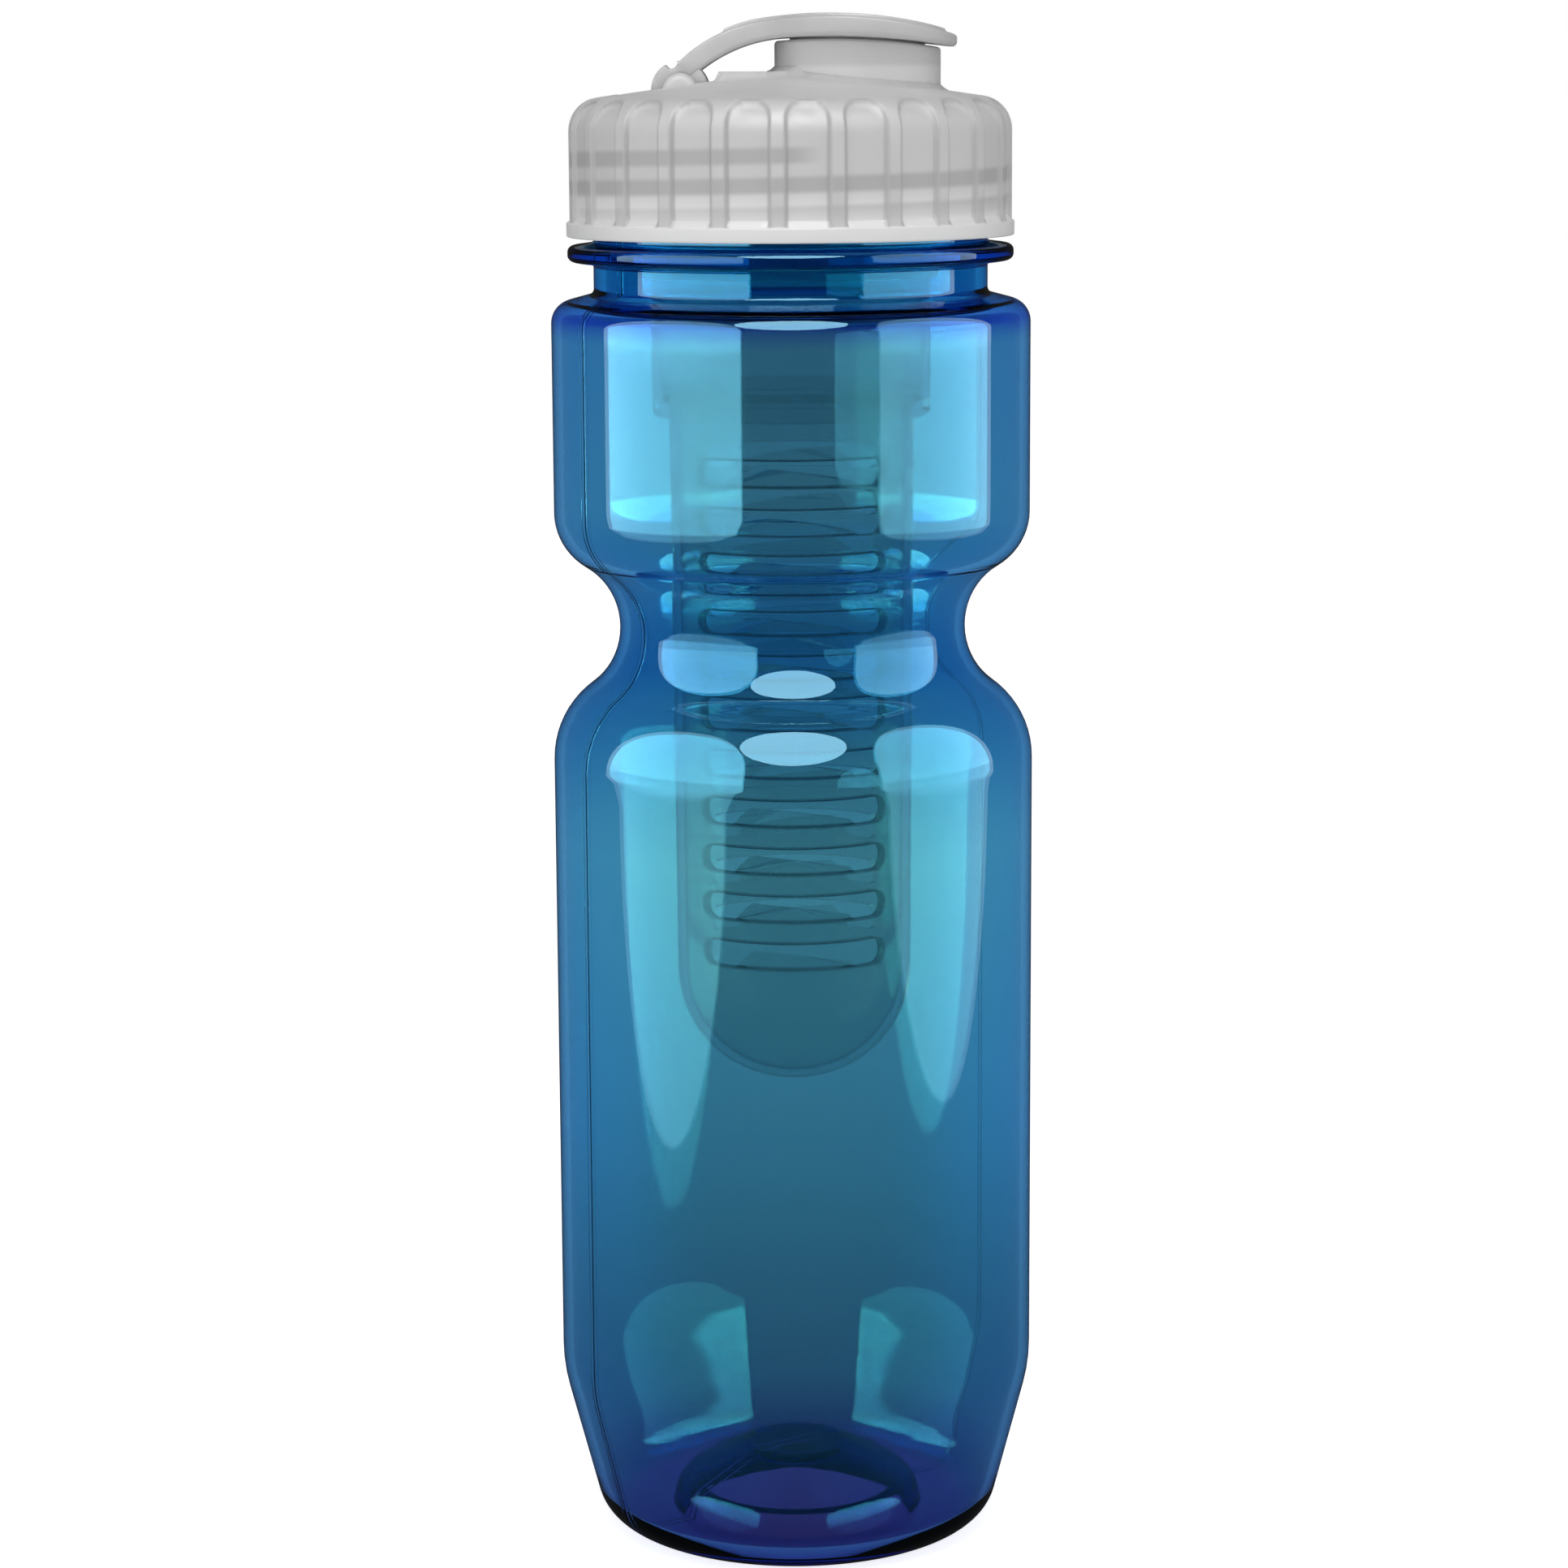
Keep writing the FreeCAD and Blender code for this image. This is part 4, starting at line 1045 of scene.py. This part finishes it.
def slotTool():  # one slot with radial walls and round ends, at the first slot's height
    half = slots["height"] / 2
    endTurn = math.radians(slots["halfDeg"]) - half / infuser["basket"]
    outline = []
    for side in (1, -1):
        for i in range(slots["endSteps"] + 1):
            t = side * math.pi / 2 * (1 - 2 * i / slots["endSteps"])
            outline.append((side * (endTurn + half * math.cos(t) / infuser["basket"]), half * math.sin(t)))
        steps = slots["sideSteps"]
        straight = [side * endTurn * (1 - 2 * i / steps) for i in range(1, steps)]
        outline += [(a, -side * half) for a in straight]
    middle = hangZ - slots["firstDrop"]
    rings = []
    for radius in (slots["inner"], slots["outer"]):
        rings.append([(radius * math.sin(a), -radius * math.cos(a), middle + z) for a, z in outline])
    return newPiece("slotTool", skin("slotTool", rings))


def slotTree():  # rows of slots down the front and the back, cut from the basket
    tree, start = openTree("slotRows", "GeometryNodeTree", {
        "Basket": "Geometry", "Slot": "Object", "Count": "Int", "Pitch": "Float", "Material": "Material"},
        {"Geometry": "Geometry"})
    slot = addNode(tree, "GeometryNodeObjectInfo", {"Object": start.outputs["Slot"]})
    step = addNode(tree, "ShaderNodeCombineXYZ", {"Z": times(tree, start.outputs["Pitch"], -1)})
    line = addNode(tree, "GeometryNodeMeshLine", {"Count": start.outputs["Count"], "Offset": step.outputs[0]})
    front = addNode(tree, "GeometryNodeInstanceOnPoints", {
        "Points": line.outputs["Mesh"], "Instance": slot.outputs["Geometry"]})
    back = addNode(tree, "GeometryNodeTransform", {
        "Geometry": front.outputs["Instances"], "Rotation": (0, 0, math.pi)})
    both = addNode(tree, "GeometryNodeJoinGeometry")
    tree.links.new(front.outputs["Instances"], both.inputs[0])
    tree.links.new(back.outputs[0], both.inputs[0])
    tools = addNode(tree, "GeometryNodeRealizeInstances", {"Geometry": both.outputs[0]})
    cut = addNode(tree, "GeometryNodeMeshBoolean", {
        "Mesh 1": start.outputs["Basket"], "Mesh 2": tools.outputs[0]},
        operation="DIFFERENCE", solver="EXACT")
    closeTree(tree, cut.outputs["Mesh"], start.outputs["Material"])
    return tree


def plainNormals(mesh):  # the slots' cuts leave the wall's shading as it was
    normals = []
    for face in mesh.polygons:
        for i in face.vertices:
            spot = mesh.vertices[i].co
            out = Vector((spot.x, spot.y, 0)).normalized()
            lean = face.normal.dot(out)
            plain = abs(face.normal.z) < infuser["plainLevel"] and abs(lean) > infuser["plainLean"]
            normals.append(math.copysign(1, lean) * out if plain else Vector((0, 0, 0)))
    mesh.normals_split_custom_set(normals)


def makeBasket(material):
    n = infuser
    low, thin = hangZ - n["depth"], n["basket"] - n["taper"]
    bend, top = thin * n["roundShare"], hangZ + n["lipHeight"]
    path = roundedPath([
        (0, low, 0), (thin, low, bend), (n["basket"], hangZ, 0), (n["lip"], hangZ, n["lipEdge"]),
        (n["lip"], top, n["rimEdge"]), (n["basket"] - n["wall"], top, n["rimEdge"]),
        (thin - n["wall"], low + n["wall"], bend - n["wall"]), (0, low + n["wall"], 0)], stepDeg=n["stepDeg"])
    piece = turned("infuserBasket", fillRuns(path, lambda p: n["basketStep"]), material, n["segments"])
    tool = slotTool()
    growFrom(piece, slotTree(), Slot=tool, Count=slots["count"], Pitch=slots["pitch"] * mm, Material=material)
    dropPiece(tool)
    finishPiece(piece, "basket", "basket_clear", "infuser_basket")
    plainNormals(piece.data)


def slotRimShade(tree):  # mask of painted shade: 1 along the rims of the slots in front, and 0 on the level faces of any slot
    x, y, z = objectSpot(tree)[:3]
    half = slots["height"] / 2
    reach = infuser["basket"] * math.radians(slots["halfDeg"]) - half
    along = times(tree, calc(tree, "ARCTAN2", x, times(tree, y, -1)), infuser["basket"])
    beyond = calc(tree, "MAXIMUM", minus(tree, calc(tree, "ABSOLUTE", along), reach), 0)
    drop = calc(tree, "DIVIDE", minus(tree, hangZ - slots["firstDrop"], z), slots["pitch"])
    row = calc(tree, "MINIMUM", calc(tree, "MAXIMUM", calc(tree, "ROUND", drop), 0), slots["count"] - 1)
    above = times(tree, minus(tree, drop, row), slots["pitch"])
    away = calc(tree, "ABSOLUTE", minus(tree, hypot(tree, beyond, above), half))
    normal = addNode(tree, "ShaderNodeTexCoord").outputs["Normal"]
    level = calc(tree, "ABSOLUTE", addNode(tree, "ShaderNodeSeparateXYZ", {"Vector": normal}).outputs["Z"])
    lowest = hangZ - slots["firstDrop"] - slots["pitch"] * (slots["count"] - 0.5)
    slotted = times(tree, ramp(tree, level, *slots["level"]), ramp(tree, z, lowest - slots["fade"], lowest))
    return ramp(tree, away, slots["line"], slots["line"] / 3), minus(tree, 1, slotted)


makeCollar(clearPlastic("collarClear", (0.88, 0.88, 0.86, 1)))
makeBasket(clearPlastic("basketClear", (0.85, 0.86, 0.84, 1), slotRimShade))
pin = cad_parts["hinge_pin"]
pin.data.materials.clear()
pin.data.materials.append(pinSteel())


# Studio: white floor and world, lamps for the plain light, and soft panels that only reflections show
studio = dict(
    floorSize=6.0, floorTone=grey(0.8), floorRoughness=0.9, floorGlow=0.8, fill=0.3, gloss=0.025, bounces=24,
    lampTone=0.135, lampAim=(0, 0, 0.15),
    lamps=dict(  # place, width, height, energy
        leftLamp=((-0.8, -0.6, 0.4), 0.7, 0.9, 12), rightLamp=((0.8, -0.6, 0.4), 0.7, 0.9, 12),
        topLamp=((0, -0.2, 1.1), 0.8, 0.8, 22), lowLamp=((0, -1.0, 0.02), 0.9, 0.4, 22),
    ),
    panels=dict(  # mirror, azimuth in degrees, two widths, tip, lower end of the sides, top, brightness
        leftPanel=("outside", -61, (0.83, 1.15), -0.124, -0.03, 1.2, (1.4, 2.6, 3.6)),
        rightPanel=("outside", 75, (0.85, 0.99), -0.11, -0.02, 1.2, (1.4, 2.2, 2.8)),
        leftInner=("inside", -61, (0.83, 1.15), -0.124, -0.03, 1.2, (9.5, 25, 36)),
        rightInner=("inside", 75, (0.85, 0.99), -0.11, -0.02, 1.2, (9, 18, 26)),
        stripInner=("inside", 31, (0.26, 0.28), 0.095, 0.1, 0.4, (13, 13, 13)),
        leftFar=("farWall", -77, (0.83, 1.3), -0.15, -0.05, 1.2, (24, 22, 80)),
        rightFar=("farWall", 70, (0.9, 1.35), -0.176, -0.06, 1.2, (24, 22, 80)),
    ),
    nearCrossings=3,  # a ray mirrored by the near wall crosses fewer faces
    mirrorTone=dict(outside=white, inside=(1, 0.72, 0.47, 1), farWall=(1, 0.6, 0.28, 1)),
    panelSteps=24, discSteps=48, panelDistance=0.75, widenZ=0.05, roundShare=0.7,
    stepZ=(0.0, 0.03, 0.125, 0.15),
    disc=dict(elevationDeg=47.5, distance=0.9, radius=0.36, aim=0.13, brightness=12.0),
)


def seenRays(tree):  # the camera sees the white, also through clear walls
    path = addNode(tree, "ShaderNodeLightPath").outputs
    return calc(tree, "MAXIMUM", path["Is Camera Ray"], path["Is Transmission Ray"]), path["Is Glossy Ray"]


def whiteStage():
    world = bpy.data.worlds.new("whiteRoom")
    bpy.context.scene.world = world
    world.use_nodes = True
    tree = world.node_tree
    seen, glossy = seenRays(tree)
    dim = plus(tree, studio["fill"], times(tree, glossy, studio["gloss"] - studio["fill"]))
    lit = calc(tree, "MAXIMUM", dim, seen)
    feedAll(tree, tree.nodes["Background"], {"Strength": lit, "Color": white})

    half = studio["floorSize"] / 2
    mesh = bpy.data.meshes.new("floor")
    corners = [(-half, -half, 0), (half, -half, 0), (half, half, 0), (-half, half, 0)]
    mesh.from_pydata(corners, [], [(0, 1, 2, 3)])
    floor = newPiece("floor", mesh)
    material, tree, shader = newMaterial("floorWhite")
    feedAll(tree, shader, {
        "Base Color": studio["floorTone"], "Roughness": studio["floorRoughness"], "Specular IOR Level": 0,
        "Emission Color": white, "Emission Strength": times(tree, seenRays(tree)[0], studio["floorGlow"])})
    mesh.materials.append(material)
    floor.visible_glossy = False  # the panels' lower ends show in reflections
    floor.visible_transmission = False


def glowing(name, points, brightness, mirror="outside"):  # a flat light that only reflections show
    mesh = bpy.data.meshes.new(name)
    mesh.from_pydata(points, [], [tuple(range(len(points)))])
    panel = newPiece(name, mesh)
    material, tree, shader = newMaterial(name)
    tree.nodes.remove(shader)
    height = times(tree, objectSpot(tree)[2], mm)
    low, middle, high = brightness
    strength = low
    for heights, rise in ((studio["stepZ"][:2], middle - low), (studio["stepZ"][2:], high - middle)):
        strength = plus(tree, strength, times(tree, ramp(tree, height, *heights), rise))
    outside = mirror == "outside"
    glow = addNode(tree, "ShaderNodeEmission", {"Strength": strength, "Color": studio["mirrorTone"][mirror]})
    if not outside:  # mirrored once, by the near wall's inside or by the far wall, else not there
        path = addNode(tree, "ShaderNodeLightPath").outputs
        once = calc(tree, "COMPARE", path["Glossy Depth"], 1, 0.5)
        compare = "LESS_THAN" if mirror == "inside" else "GREATER_THAN"
        wall = calc(tree, compare, path["Transmission Depth"], studio["nearCrossings"])
        gone = addNode(tree, "ShaderNodeBsdfTransparent")
        glow = addNode(tree, "ShaderNodeMixShader", {
            0: times(tree, once, wall), 1: gone.outputs[0], 2: glow.outputs[0]})
    tree.links.new(glow.outputs[0], tree.nodes["Material Output"].inputs["Surface"])
    mesh.materials.append(material)
    panel.visible_camera = False
    panel.visible_diffuse = False
    panel.visible_glossy = outside
    panel.visible_transmission = not outside
    panel.visible_shadow = False


def softPanel(name, mirror, azimuthDeg, widths, tip, low, high, brightness):
    azimuth = math.radians(azimuthDeg)
    away = Vector((math.sin(azimuth), -math.cos(azimuth), 0)) * studio["panelDistance"]
    side = Vector((math.cos(azimuth), math.sin(azimuth), 0))
    turns = shares(math.pi, studio["panelSteps"])
    foot, top = (width / 2 for width in widths)
    widen = max(low, studio["widenZ"])
    share = studio["roundShare"]
    outline = [(-math.cos(t) * foot, low + (tip - low) * math.sin(t)) for t in turns]
    outline += [(top, widen)] + [(math.cos(t) * top, high * (1 - share + share * math.sin(t))) for t in turns]
    outline += [(-top, widen)]
    points = [away + side * across + Vector((0, 0, height)) for across, height in outline]
    glowing(name, points, brightness, mirror)


def topDisc(elevationDeg, distance, radius, aim, brightness):
    elevation = math.radians(elevationDeg)
    middle = Vector((0, -math.cos(elevation), math.sin(elevation))) * distance + Vector((0, 0, aim))
    rise = Vector((0, math.sin(elevation), math.cos(elevation)))
    turns = shares(fullTurn, studio["discSteps"])[:-1]
    points = [middle + Vector((math.cos(t), 0, 0)) * radius + rise * math.sin(t) * radius for t in turns]
    glowing("topDisc", points, (brightness,) * 3)


def lamp(name, spot, width, height, energy):
    data = bpy.data.lights.new(name, "AREA")
    data.shape = "RECTANGLE"
    data.size = width
    data.size_y = height
    data.energy = energy * studio["lampTone"]
    light = bpy.data.objects.new(name, data)
    way = Vector(studio["lampAim"]) - Vector(spot)
    light.matrix_world = Matrix.Translation(spot) @ way.to_track_quat("-Z", "Y").to_matrix().to_4x4()
    bpy.context.scene.collection.objects.link(light)
    light.visible_glossy = False
    light.visible_transmission = False


def lights():
    for name, sizes in studio["panels"].items():
        softPanel(name, *sizes)
    topDisc(**studio["disc"])
    for name, sizes in studio["lamps"].items():
        lamp(name, *sizes)


camera = dict(
    lens=93.17, sensor=36.0, near=0.01, pitchDeg=9.8, rollDeg=-0.33, distance=617.4, height=223.5,
    aside=-1.44)


def placeCamera():
    data = bpy.data.cameras.new("camera")
    data.lens = camera["lens"]
    data.sensor_width = camera["sensor"]
    data.clip_start = camera["near"]
    view = bpy.data.objects.new("camera", data)
    turn = Euler((math.radians(90 - camera["pitchDeg"]), 0, 0)).to_matrix()
    turn = turn @ Matrix.Rotation(math.radians(camera["rollDeg"]), 3, "Z")
    spot = Vector((camera["aside"], -camera["distance"], camera["height"])) * mm
    view.matrix_world = Matrix.Translation(spot) @ turn.to_4x4()
    bpy.context.scene.collection.objects.link(view)
    bpy.context.scene.camera = view


whiteStage()
lights()
placeCamera()
scene = bpy.context.scene
scene.view_settings.view_transform = "Standard"
scene.cycles.max_bounces = studio["bounces"]
scene.cycles.transmission_bounces = studio["bounces"]
print("stage, lights and camera placed")
